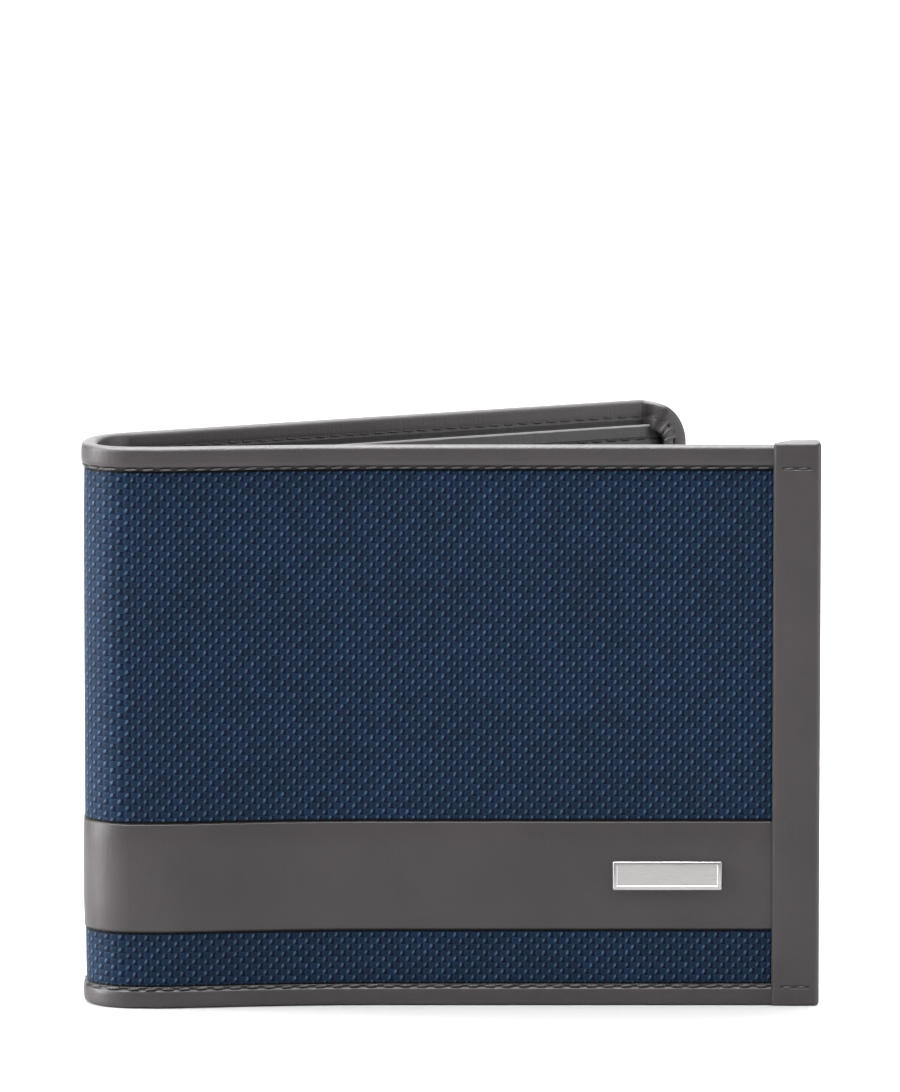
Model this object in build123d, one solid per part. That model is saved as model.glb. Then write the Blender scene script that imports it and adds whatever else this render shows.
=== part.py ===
"""A two-leaf folding wallet: a woven nylon shell edged with leather, folding on a soft spine.

Working frame, in millimetres. The shell is laid out along one line in plan, the skin line,
which is the outer face of the leather binding:

    u  distance along the skin line, from the front leaf's free end, round the spine, to the
       back leaf's free end
    v  depth inwards from the skin line, so 0 is the binding's outer face
    z  height above the surface that the wallet stands on

The row frame has the same directions. Its origin is the centre of the bounding box, on the
ground, with the front leaf along X and facing -Y.
"""

from build123d import *
import math
import os

# ---- overall sizes ----
closed_width = 115.0  # spine's outermost point to the front leaf's free end
height = 88.0  # ground to the top of the top binding
rest_opening = 30.0  # angle between the leaves as it stands, degrees
flat_opening = 180.0  # both leaves in one plane
shut_opening = 0.0  # shut, the leaves lie parallel
back_leaf_step = 2.4  # how far the front leaf's free end stands past the back leaf's, shut

# ---- spine ----
front_crease_radius = 7.0
back_crease_radius = 12.0
spine_flat = 1.0
folds_per_crease = 2  # the soft folding is shared equally by all the fold lines
fold_slack = 0.6  # spare angle on each side of a fold line when shut, degrees
fold_cut_lead = 0.3  # how far outside the skin line each fold cut starts

# ---- leather, cloth and gaps, by thickness ----
binding_leather = 0.5
nylon_cloth = 0.6
stiffener_sheet = 0.6
lining_cloth = 0.4
note_gap = 1.0
divider_leather = 0.6
slip_gap = 0.3
slip_leather = 0.5
pocket_gap = 0.3
pocket_leather = 0.5
band_leather = 0.35
strip_leather = 0.5
strip_end_leather = 0.6

# ---- edges ----
top_binding_depth = 3.7
bottom_binding_depth = 3.4
end_binding_depth = 4.0
corner_radius = 7.0
strip_face_width = 7.4
strip_inner_width = 4.1

# ---- leather band and its plate ----
band_bottom = 11.85
band_top = 28.95
plate_width = 17.0
plate_height = 4.5
plate_thickness = 0.9
plate_from_end = 23.75
plate_edge_break = 0.25
prong_width = 1.2
prong_thickness = 0.4
prong_pitch = 11.0
prong_fit = 0.1
clip_height = 3.4
clip_margin = 2.0
clip_thickness = 0.3
clip_recess_fit = 0.1

# ---- inside ----
divider_drop = 4.7  # top of the note divider below the top of the shell
slip_top_drop = 3.2  # slip panel below the divider
pocket_top_drop = 4.5  # highest card pocket below the slip panel
pocket_step = 11.0
pocket_count = 4
pocket_depth = 50.0
pocket_clear_of_end = 0.5
pocket_clear_of_crease = 5.5
pocket_foot_gap = 0.4
slip_overhang = 1.5
seam_width = 2.0

# ---- the layers' depths, outside to inside ----
nylon_face = binding_leather
stiffener_face = nylon_face + nylon_cloth
lining_face = stiffener_face + stiffener_sheet
shell_back = lining_face + lining_cloth
divider_face = shell_back + note_gap
divider_back = divider_face + divider_leather
slip_face = divider_back + slip_gap
slip_back = slip_face + slip_leather
edge_back = slip_back + binding_leather
strip_back = slip_back + strip_leather
far_out = -5.0  # depths clear of everything, outside and inside
far_in = 20.0

shell_bottom = binding_leather
shell_top = height - binding_leather
divider_top = height - divider_drop
slip_top = divider_top - slip_top_drop
panel_foot = bottom_binding_depth + pocket_foot_gap

# ---- the skin line ----
crease_turn = (180.0 - rest_opening) / 2
turn = math.radians(crease_turn)
front_crease = front_crease_radius * turn
back_crease = back_crease_radius * turn
# How far the spine stands out past the end of the front leaf's straight run.
spine_reach = (
    front_crease_radius * math.sin(turn)
    + spine_flat * math.cos(turn)
    + back_crease_radius * (1 - math.sin(turn))
)
front_run = closed_width - spine_reach
# Shut flat, each crease is a quarter turn.
quarter = math.pi / 2
back_run = front_run + (front_crease - back_crease) / quarter - back_leaf_step

# Both leaves have pockets of one size, which the shorter leaf holds clear of its crease.
pocket_near = strip_inner_width + pocket_clear_of_end
pocket_far = min(front_run, back_run) - pocket_clear_of_crease

u_front_crease = front_run
u_spine = u_front_crease + front_crease
u_back_crease = u_spine + spine_flat
u_back_run = u_back_crease + back_crease
u_end = u_back_run + back_run
u_folds = [
    start + length * (i + 0.5) / folds_per_crease
    for start, length in ((u_front_crease, front_crease), (u_back_crease, back_crease))
    for i in range(folds_per_crease)
]
fold_shut_angle = (rest_opening - shut_opening) / len(u_folds)
fold_open_angle = (flat_opening - rest_opening) / len(u_folds)

# Each stretch: where it starts, its length, and its radius (0 is straight).
stretches = [
    (0.0, front_run, 0.0),
    (u_front_crease, front_crease, front_crease_radius),
    (u_spine, spine_flat, 0.0),
    (u_back_crease, back_crease, back_crease_radius),
    (u_back_run, back_run, 0.0),
]


def skin(u):
    """The skin line's point and heading (radians) at u; past its ends it runs on straight."""
    x, y, heading = front_run, 0.0, math.pi
    last = len(stretches) - 1
    for i, (start, length, radius) in enumerate(stretches):
        least = -math.inf if i == 0 else 0.0
        most = math.inf if i == last else length
        along = min(max(u - start, least), most)
        if radius == 0.0:
            x += along * math.cos(heading)
            y += along * math.sin(heading)
        else:
            after = heading - along / radius
            x += radius * (math.sin(heading) - math.sin(after))
            y += radius * (math.cos(after) - math.cos(heading))
            heading = after
    return x, y, heading


def at(u, v=0.0):
    """The point in plan at u along the skin line and v inwards from it."""
    x, y, heading = skin(u)
    return Vector(x + v * math.sin(heading), y - v * math.cos(heading))


def run(u0, u1, v):
    """The edges in plan from u0 to u1, all at depth v."""
    edges = []
    for start, length, radius in stretches:
        a = u0 if start == 0.0 else max(u0, start)
        b = u1 if start == u_back_run else min(u1, start + length)
        if b - a < 1e-6:
            continue
        if radius == 0.0:
            edges.append(Line(at(a, v), at(b, v)))
        else:
            edges.append(ThreePointArc(at(a, v), at((a + b) / 2, v), at(b, v)))
    return edges


def sheet(u0, u1, v0, v1, z0, z1):
    """A solid between two depths and two heights, following the skin line from u0 to u1."""
    outside = run(u0, u1, v0)
    inside = run(u0, u1, v1)
    ends = [Line(at(u0, v0), at(u0, v1)), Line(at(u1, v0), at(u1, v1))]
    outline = Pos(0, 0, z0) * make_face(outside + inside + ends)
    return extrude(outline, z1 - z0, dir=(0, 0, 1))


def leaf_plane(u):
    """The plane on the skin at u: its x runs along u, its y up and its z inwards."""
    x, y, heading = skin(u)
    along = (math.cos(heading), math.sin(heading), 0)
    inwards = (math.sin(heading), -math.cos(heading), 0)
    return Plane(origin=(x, y, 0), x_dir=along, z_dir=inwards)


def back_end_outline(inset, v0, v1):
    """The back leaf's rounded free end, set in by inset, as a solid between two depths."""
    length = back_run - inset
    rise = height - 2 * inset
    centre = (length / 2, height / 2)
    flat = Pos(*centre) * Rectangle(length, rise)
    free_end = flat.vertices().sort_by(Axis.X)[-2:]
    flat = fillet(free_end, corner_radius - inset)
    lead = Pos(0, height / 2) * Rectangle(length, rise)
    outline = leaf_plane(u_back_run) * Pos(0, 0, v0) * (flat + lead)
    return extrude(outline, v1 - v0)


def rounded(piece, inset):
    """The piece with the back leaf's free end trimmed to its rounded outline."""
    reach = back_end_outline(inset, far_out, far_in)
    body = leaf_plane(u_back_run) * Pos(back_run, height / 2, 0) * Box(
        2 * (corner_radius + 1), 3 * height, 2 * far_in
    )
    return piece - (body - reach)


def fold_cut(u):
    """The thin wedge that parts two sheets at a fold line, so that they can shut further."""
    half_angle = math.radians(fold_shut_angle / 2 + fold_slack)
    depth = far_in / 2
    spread = depth * math.tan(half_angle)
    wedge = Polyline((0, 0), (depth, spread), (depth, -spread), close=True)
    x, y, heading = skin(u)
    tip = at(u, -fold_cut_lead)
    place = Location((tip.X, tip.Y, -1), (0, 0, math.degrees(heading) - 90))
    return extrude(place * make_face(wedge), height + 3, dir=(0, 0, 1))


fold_cuts = [fold_cut(u) for u in u_folds]
slats = [f"spine_{i}" for i in range(1, len(u_folds))]
parts_of_fold = ["front", *slats, "back"]


def split_at_folds(piece):
    """The piece as one solid or group for each of the five stretches between fold lines."""
    for cut in fold_cuts:
        piece = piece - cut
    limits = [-far_in, *u_folds, u_end + far_in]
    found = {name: [] for name in parts_of_fold}
    for solid in piece.solids():
        plan = Vector(solid.center().X, solid.center().Y)
        span = [i / 2 for i in range(0, int(2 * u_end) + 1)]
        nearest = min(span, key=lambda u: (at(u, shell_back) - plan).length)
        for i, name in enumerate(parts_of_fold):
            if limits[i] <= nearest < limits[i + 1]:
                found[name].append(solid)
    return {name: solids for name, solids in found.items() if solids}


# ---- the shell: nylon, stiffener, lining, and the leather band over the nylon ----
def shell_layer(v0, v1):
    """One full-height layer of the shell, from inside the end strip to the rounded end."""
    layer = sheet(strip_end_leather, u_end - binding_leather, v0, v1, shell_bottom, shell_top)
    return rounded(layer, binding_leather)


def plate_slots(v0, v1):
    """The slots that the plate's prongs pass through."""
    slots = []
    for side in (-1, 1):
        u = plate_from_end + side * prong_pitch / 2
        middle = (band_bottom + band_top) / 2
        slot = sheet(
            u - prong_thickness / 2 - prong_fit,
            u + prong_thickness / 2 + prong_fit,
            v0,
            v1,
            middle - prong_width / 2 - prong_fit,
            middle + prong_width / 2 + prong_fit,
        )
        slots.append(slot)
    return slots[0] + slots[1]


def clip_size(fit):
    """The plate's backing clip in its recess, grown by fit on every edge."""
    half = prong_pitch / 2 + clip_margin
    middle = (band_bottom + band_top) / 2
    return sheet(
        plate_from_end - half - fit,
        plate_from_end + half + fit,
        stiffener_face,
        stiffener_face + clip_thickness,
        middle - clip_height / 2 - fit,
        middle + clip_height / 2 + fit,
    )


def nylon():
    """The woven outer layer, slotted for the plate's prongs."""
    return shell_layer(nylon_face, stiffener_face) - plate_slots(far_out, far_in)


def stiffener():
    """The bonded sheet behind the nylon, with a recess for the plate's clip."""
    return shell_layer(stiffener_face, lining_face) - clip_size(clip_recess_fit)


def lining():
    """The cloth inside the shell, facing the notes."""
    return shell_layer(lining_face, shell_back)


def band():
    """The leather band across both leaves and the spine, laid on the nylon."""
    strip = sheet(
        strip_end_leather,
        u_end - end_binding_depth,
        nylon_face - band_leather,
        nylon_face,
        band_bottom,
        band_top,
    )
    return strip - plate_slots(far_out, far_in)


# ---- the bindings that wrap the shell's raw edges ----
def top_binding():
    """A folded leather strip over the shell's top edge."""
    far = u_end - corner_radius
    low = height - top_binding_depth
    outside = sheet(strip_end_leather, far, 0, shell_back + binding_leather, low, height)
    inside = sheet(strip_end_leather, far, nylon_face, shell_back, low, shell_top)
    return outside - inside


def bottom_binding():
    """A folded leather strip under the shell and the note divider, which close it below."""
    far = u_end - corner_radius
    back = divider_back + binding_leather
    outside = sheet(strip_end_leather, far, 0, back, 0, bottom_binding_depth)
    inside = sheet(
        strip_end_leather, far, nylon_face, divider_back, shell_bottom, bottom_binding_depth
    )
    return outside - inside


def end_binding():
    """The leather round the back leaf's free end and its two rounded corners."""
    whole = back_end_outline(0, 0, edge_back)
    fill = back_end_outline(binding_leather, nylon_face, slip_back)
    window = back_end_outline(end_binding_depth, far_out, far_in)
    keep = leaf_plane(u_end - corner_radius) * Pos(corner_radius, height / 2, 0) * Box(
        2 * corner_radius, 2 * height, 2 * far_in
    )
    return (whole - fill - window) & keep


def end_strip():
    """The square leather strip folded round the front leaf's free end, over the bindings."""
    top = height + strip_leather
    face = sheet(0, strip_face_width, -strip_leather, 0, 0, top)
    end = sheet(0, strip_end_leather, -strip_leather, strip_back, 0, top)
    inner = sheet(0, strip_inner_width, slip_back, strip_back, 0, top)
    over_binding = sheet(
        0, strip_face_width, -strip_leather, shell_back + binding_leather, height, top
    )
    over_divider = sheet(0, strip_inner_width, -strip_leather, strip_back, height, top)
    return face + end + inner + over_binding + over_divider


# ---- inside: the note divider, and on each leaf a slip panel with stepped card pockets ----
def divider():
    """The leather wall of the note compartment, sewn in at the foot and the two ends."""
    wall = sheet(
        strip_end_leather,
        u_end - binding_leather,
        divider_face,
        divider_back,
        shell_bottom,
        divider_top,
    )
    return rounded(wall, binding_leather)


def edge_leather(leaf):
    """How thick the leather is that closes the leaf's free end."""
    return strip_end_leather if leaf == "front" else binding_leather


def edge_cover(leaf):
    """How far the leather at the leaf's free end reaches over the inside."""
    return strip_inner_width if leaf == "front" else end_binding_depth


def leaf_sheet(leaf, e0, e1, v0, v1, z0, z1, inset):
    """A sheet whose stretch is given from its leaf's own free end, with its corners rounded."""
    if leaf == "front":
        return sheet(e0, e1, v0, v1, z0, z1)
    return rounded(sheet(u_end - e1, u_end - e0, v0, v1, z0, z1), inset)


def slip_panel(leaf):
    """The panel in front of the divider; it is open at the top and towards the spine."""
    far = pocket_far + slip_overhang
    return leaf_sheet(
        leaf,
        edge_leather(leaf),
        far,
        slip_face,
        slip_back,
        panel_foot,
        slip_top,
        binding_leather,
    )


def pocket_faces(n):
    """The depths of card pocket n's outer and inner face; 1 is the highest and rearmost."""
    back = slip_back + n * (pocket_gap + pocket_leather)
    return back - pocket_leather, back


def pocket_mouth(n):
    """The height of card pocket n's top edge."""
    return slip_top - pocket_top_drop - (n - 1) * pocket_step


def pocket_sheet(leaf, e0, e1, v0, v1, z0, z1):
    """A sheet inside the frame of leather that the edges make round the leaf's inside."""
    return leaf_sheet(leaf, e0, e1, v0, v1, z0, z1, end_binding_depth + pocket_clear_of_end)


def card_pocket(leaf, n):
    """One card pocket's front sheet, down to the foot of the leaf."""
    faces = pocket_faces(n)
    return pocket_sheet(leaf, pocket_near, pocket_far, *faces, panel_foot, pocket_mouth(n))


def pocket_hems(leaf, n):
    """The sewn hems that hold card pocket n off the one behind it: two sides and a floor."""
    face = pocket_faces(n)[0]
    depths = (face - pocket_gap, face)
    mouth = pocket_mouth(n)
    floor = max(panel_foot, mouth - pocket_depth)
    inner_near = pocket_near + seam_width
    inner_far = pocket_far - seam_width
    return [
        pocket_sheet(leaf, pocket_near, inner_near, *depths, panel_foot, mouth),
        pocket_sheet(leaf, inner_far, pocket_far, *depths, panel_foot, mouth),
        pocket_sheet(leaf, inner_near, inner_far, *depths, floor, floor + seam_width),
    ]


def slip_hems(leaf):
    """The sewn hems behind the slip panel, under the end leather and along the foot."""
    depths = (divider_back, slip_face)
    cover = edge_cover(leaf)
    end = leaf_sheet(
        leaf, edge_leather(leaf), cover, *depths, panel_foot, slip_top, binding_leather
    )
    hem_top = panel_foot + seam_width
    foot = leaf_sheet(
        leaf, cover, pocket_far, *depths, panel_foot, hem_top, binding_leather
    )
    return [end, foot]


def seams(leaf):
    """Every sewn hem inside a leaf."""
    hems = slip_hems(leaf)
    for n in range(1, pocket_count + 1):
        hems += pocket_hems(leaf, n)
    return hems


# ---- the metal plate on the band, and the clip behind the nylon that its prongs hold ----
def metal_plate():
    """A plain bevelled plate with two flat prongs on its back."""
    middle = (band_bottom + band_top) / 2
    front = nylon_face - band_leather
    spot = leaf_plane(plate_from_end) * Pos(0, middle, front - plate_thickness / 2)
    plate = spot * Box(plate_width, plate_height, plate_thickness)
    outer = plate.faces().sort_by(Axis.Y)[0]
    plate = chamfer(outer.edges(), plate_edge_break)
    for side in (-1, 1):
        u = plate_from_end + side * prong_pitch / 2
        plate += sheet(
            u - prong_thickness / 2,
            u + prong_thickness / 2,
            front,
            stiffener_face + clip_thickness,
            middle - prong_width / 2,
            middle + prong_width / 2,
        )
    return plate


def plate_clip():
    """The thin backing clip, slotted for the prongs."""
    return clip_size(0) - plate_slots(far_out, far_in)


def write(name, solids, shift):
    """Writes one node's solids as a STEP file, in the row frame."""
    solids = [s for item in solids for s in item.solids()]
    moved = [Pos(*shift) * s for s in solids]
    shape = moved[0] if len(moved) == 1 else Compound(children=moved)
    export_step(shape, os.path.join("parts", name + ".step"))


def nodes():
    """Every node's solids, in the working frame."""
    made = {}
    across = {
        "nylon": nylon(),
        "stiffener": stiffener(),
        "lining": lining(),
        "band": band(),
        "top_binding": top_binding(),
        "bottom_binding": bottom_binding(),
        "divider": divider(),
    }
    for name, piece in across.items():
        for part, solids in split_at_folds(piece).items():
            made[f"{name}_{part}"] = solids
    made["end_binding_back"] = [end_binding()]
    made["end_strip_front"] = [end_strip()]
    for leaf in ("front", "back"):
        made[f"slip_panel_{leaf}"] = [slip_panel(leaf)]
        made[f"pocket_seams_{leaf}"] = seams(leaf)
        for n in range(1, pocket_count + 1):
            made[f"card_pocket_{leaf}_{n}"] = [card_pocket(leaf, n)]
    made["metal_plate"] = [metal_plate()]
    made["plate_clip"] = [plate_clip()]
    return made


def main():
    os.makedirs("parts", exist_ok=True)
    made = nodes()
    whole = Compound(children=[s for group in made.values() for x in group for s in x.solids()])
    box = whole.bounding_box()
    shift = (-box.center().X, -box.center().Y, -box.min.Z)
    for name, group in made.items():
        write(name, group, shift)
    print("size", box.size, "shift", shift, "nodes", len(made))
    print("each fold line shuts", fold_shut_angle, "and opens", fold_open_angle, "degrees")
    for u in u_folds:
        line = at(u)
        print("fold line at", round(line.X + shift[0], 4), round(line.Y + shift[1], 4))


if __name__ == "__main__":
    main()
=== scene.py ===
"""A two-leaf folding wallet, standing slightly open: navy ballistic nylon edged with grey leather.

Every piece that follows the shell is modelled flat, as it lies on the cutting bench, and is then
wrapped round the wallet's plan line. On the bench X runs along the skin from the front leaf's
free end, round the spine, to the back leaf's free end. Y is minus the depth inwards from the
skin, and Z is the height above the table. Sizes are in millimetres until they meet a mesh.
"""

import logging
import math
import random
from collections.abc import Sequence
from dataclasses import dataclass, field
from enum import Enum
from itertools import pairwise

import bmesh
import bpy
from mathutils import Matrix, Vector


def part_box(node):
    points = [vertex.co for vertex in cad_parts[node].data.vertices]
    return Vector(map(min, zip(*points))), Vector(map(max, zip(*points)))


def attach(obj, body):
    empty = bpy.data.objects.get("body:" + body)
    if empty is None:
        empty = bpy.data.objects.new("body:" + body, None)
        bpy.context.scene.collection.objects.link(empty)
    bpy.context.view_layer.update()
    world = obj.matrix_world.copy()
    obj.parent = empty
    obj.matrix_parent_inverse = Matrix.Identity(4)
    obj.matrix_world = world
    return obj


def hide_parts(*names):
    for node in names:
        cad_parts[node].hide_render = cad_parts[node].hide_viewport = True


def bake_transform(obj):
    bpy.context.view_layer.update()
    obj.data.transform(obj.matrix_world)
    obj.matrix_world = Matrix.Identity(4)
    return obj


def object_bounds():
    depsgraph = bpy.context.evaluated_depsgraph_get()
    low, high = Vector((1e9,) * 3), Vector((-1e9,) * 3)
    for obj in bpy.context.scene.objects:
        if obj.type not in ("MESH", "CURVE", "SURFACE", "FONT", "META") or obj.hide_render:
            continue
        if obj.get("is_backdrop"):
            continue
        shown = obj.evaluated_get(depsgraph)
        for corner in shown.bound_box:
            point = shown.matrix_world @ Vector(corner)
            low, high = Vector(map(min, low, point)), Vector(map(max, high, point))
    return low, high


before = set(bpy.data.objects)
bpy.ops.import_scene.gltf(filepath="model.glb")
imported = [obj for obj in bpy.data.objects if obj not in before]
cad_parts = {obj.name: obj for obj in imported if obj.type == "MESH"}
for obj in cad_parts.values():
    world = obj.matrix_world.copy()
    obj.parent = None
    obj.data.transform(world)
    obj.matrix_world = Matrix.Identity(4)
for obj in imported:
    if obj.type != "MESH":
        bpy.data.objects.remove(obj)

MM = 0.001
LOG = logging.getLogger("wallet")
Pair = tuple[float, float]
Triple = tuple[float, float, float]
Outline = list[Pair]
Piece = bpy.types.Object
Socket = bpy.types.NodeSocket
Material = bpy.types.Material


# ---------------------------------------------------------------- sizes and the skin line


@dataclass(frozen=True)
class ShellSizes:
    """The shell's driving sizes, in millimetres and degrees."""

    front_radius: float = 7.0
    back_radius: float = 12.0
    spine_flat: float = 1.0
    opening: float = 30.0
    back_step: float = 2.4
    leather: float = 0.5
    nylon: float = 0.6
    board: float = 0.6
    lining: float = 0.4
    note_gap: float = 1.0
    divider: float = 0.6
    slip_gap: float = 0.3
    slip: float = 0.5
    pocket_gap: float = 0.3
    pocket: float = 0.5
    strip_proud: float = 0.5
    corner: float = 7.0
    top_depth: float = 3.7
    bottom_depth: float = 3.4
    end_depth: float = 4.0

    @property
    def shell_back(self) -> float:
        """Depth of the lining's inner face."""
        return self.leather + self.nylon + self.board + self.lining

    @property
    def divider_face(self) -> float:
        """Depth of the note divider's outer face."""
        return self.shell_back + self.note_gap

    @property
    def slip_face(self) -> float:
        """Depth of the slip panel's outer face."""
        return self.divider_face + self.divider + self.slip_gap

    @property
    def slip_back(self) -> float:
        """Depth of the slip panel's inner face."""
        return self.slip_face + self.slip

    @property
    def edge_back(self) -> float:
        """Depth of the inner face of the leather round the free ends."""
        return self.slip_back + self.leather


class SkinLine:
    """The plan of the shell's outer face, as straight runs and arcs."""

    def __init__(self, sizes: ShellSizes) -> None:
        """Works out the line from the frame's box and the spine's sizes.

        Args:
            sizes: The shell's driving sizes.
        """
        low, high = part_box("end_strip_front")
        self.free_x = high[0] / MM
        self.face_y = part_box("top_binding_front")[0][1] / MM
        self.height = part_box("top_binding_front")[1][2] / MM
        width = (high[0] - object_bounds()[0][0]) / MM
        turn = math.radians(180.0 - sizes.opening) / 2
        reach = (
            sizes.front_radius * math.sin(turn)
            + sizes.spine_flat * math.cos(turn)
            + sizes.back_radius * (1 - math.sin(turn))
        )
        front_run = width - reach
        front_arc = sizes.front_radius * turn
        back_arc = sizes.back_radius * turn
        back_run = front_run + (front_arc - back_arc) / (math.pi / 2) - sizes.back_step
        lengths = (front_run, front_arc, sizes.spine_flat, back_arc, back_run)
        radii = (0.0, sizes.front_radius, 0.0, sizes.back_radius, 0.0)
        starts = [sum(lengths[:i]) for i in range(len(lengths))]
        self.stretches = list(zip(starts, lengths, radii))
        self.end = sum(lengths)
        self.front_crease = starts[1]
        self.front_crease_middle = starts[1] + front_arc / 2
        self.spine = starts[2]
        self.spine_middle = starts[2] + sizes.spine_flat / 2
        self.back_crease = starts[3]
        self.back_crease_middle = starts[3] + back_arc / 2
        self.back_run = starts[4]
        self.path = self._draw_path()

    def place(self, along: float) -> Triple:
        """Finds a place on the line.

        Args:
            along: Distance from the front leaf's free end.

        Returns:
            The plan point and the heading in radians.
        """
        x, y, heading = self.free_x, self.face_y, math.pi
        for start, length, radius in self.stretches:
            step = min(max(along - start, 0.0), length)
            if radius == 0.0:
                x += step * math.cos(heading)
                y += step * math.sin(heading)
                continue
            after = heading - step / radius
            x += radius * (math.sin(heading) - math.sin(after))
            y += radius * (math.cos(after) - math.cos(heading))
            heading = after
        return x, y, heading

    def point(self, along: float, depth: float = 0.0) -> Vector:
        """The point in metres at a distance along the line and a depth inwards from it."""
        x, y, heading = self.place(along)
        return Vector((x + depth * math.sin(heading), y - depth * math.cos(heading), 0.0)) * MM

    def _draw_path(self) -> Piece:
        """Draws the line as a Bezier curve that pieces are wrapped along.

        Returns:
            The curve object, which never renders.
        """
        curve = bpy.data.curves.new("skin_path", "CURVE")
        curve.dimensions = "2D"
        curve.resolution_u = 64
        curve.use_deform_bounds = False
        knots, pulls = [0.0], []
        for start, length, radius in self.stretches:
            parts = 2 if radius else 1
            for i in range(parts):
                knots.append(start + length * (i + 1) / parts)
                angle = length / parts / radius if radius else 0.0
                pulls.append(4 / 3 * math.tan(angle / 4) * radius if radius else length / 3)
        spline = curve.splines.new("BEZIER")
        spline.bezier_points.add(len(knots) - 1)
        for i, (knot, along) in enumerate(zip(spline.bezier_points, knots)):
            heading = self.place(along)[2]
            forward = Vector((math.cos(heading), math.sin(heading), 0.0))
            knot.handle_left_type = knot.handle_right_type = "FREE"
            knot.co = self.point(along)
            knot.handle_left = knot.co - forward * pulls[max(i - 1, 0)] * MM
            knot.handle_right = knot.co + forward * pulls[min(i, len(pulls) - 1)] * MM
        path = bpy.data.objects.new("skin_path", curve)
        bpy.context.collection.objects.link(path)
        path.hide_render = True
        return path


@dataclass(frozen=True)
class Section:
    """A stretch of the shell between two cuts, which bends at one fold line."""

    name: str
    start: float
    end: float
    bodies: tuple[str, str]
    bend: Pair
    nodes: tuple[str, ...]


def make_sections(skin: SkinLine) -> list[Section]:
    """Cuts the shell at the middles of its three spine slats.

    Args:
        skin: The shell's plan line.

    Returns:
        The four sections, from the front leaf to the back leaf.
    """
    near, middle, far = skin.front_crease_middle, skin.spine_middle, skin.back_crease_middle
    return [
        Section(
            "front", 0.0, near, ("front_leaf", "spine_1"), (skin.front_crease, near), ("front",)
        ),
        Section(
            "near_spine", near, middle, ("spine_1", "spine_2"), (near, skin.spine), ("spine_1",)
        ),
        Section(
            "far_spine",
            middle,
            far,
            ("spine_2", "spine_3"),
            (skin.back_crease, far),
            ("spine_2",),
        ),
        Section(
            "back",
            far,
            skin.end,
            ("spine_3", "back_leaf"),
            (far, skin.back_run),
            ("spine_3", "back"),
        ),
    ]


# ---------------------------------------------------------------- modelling on the bench


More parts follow.
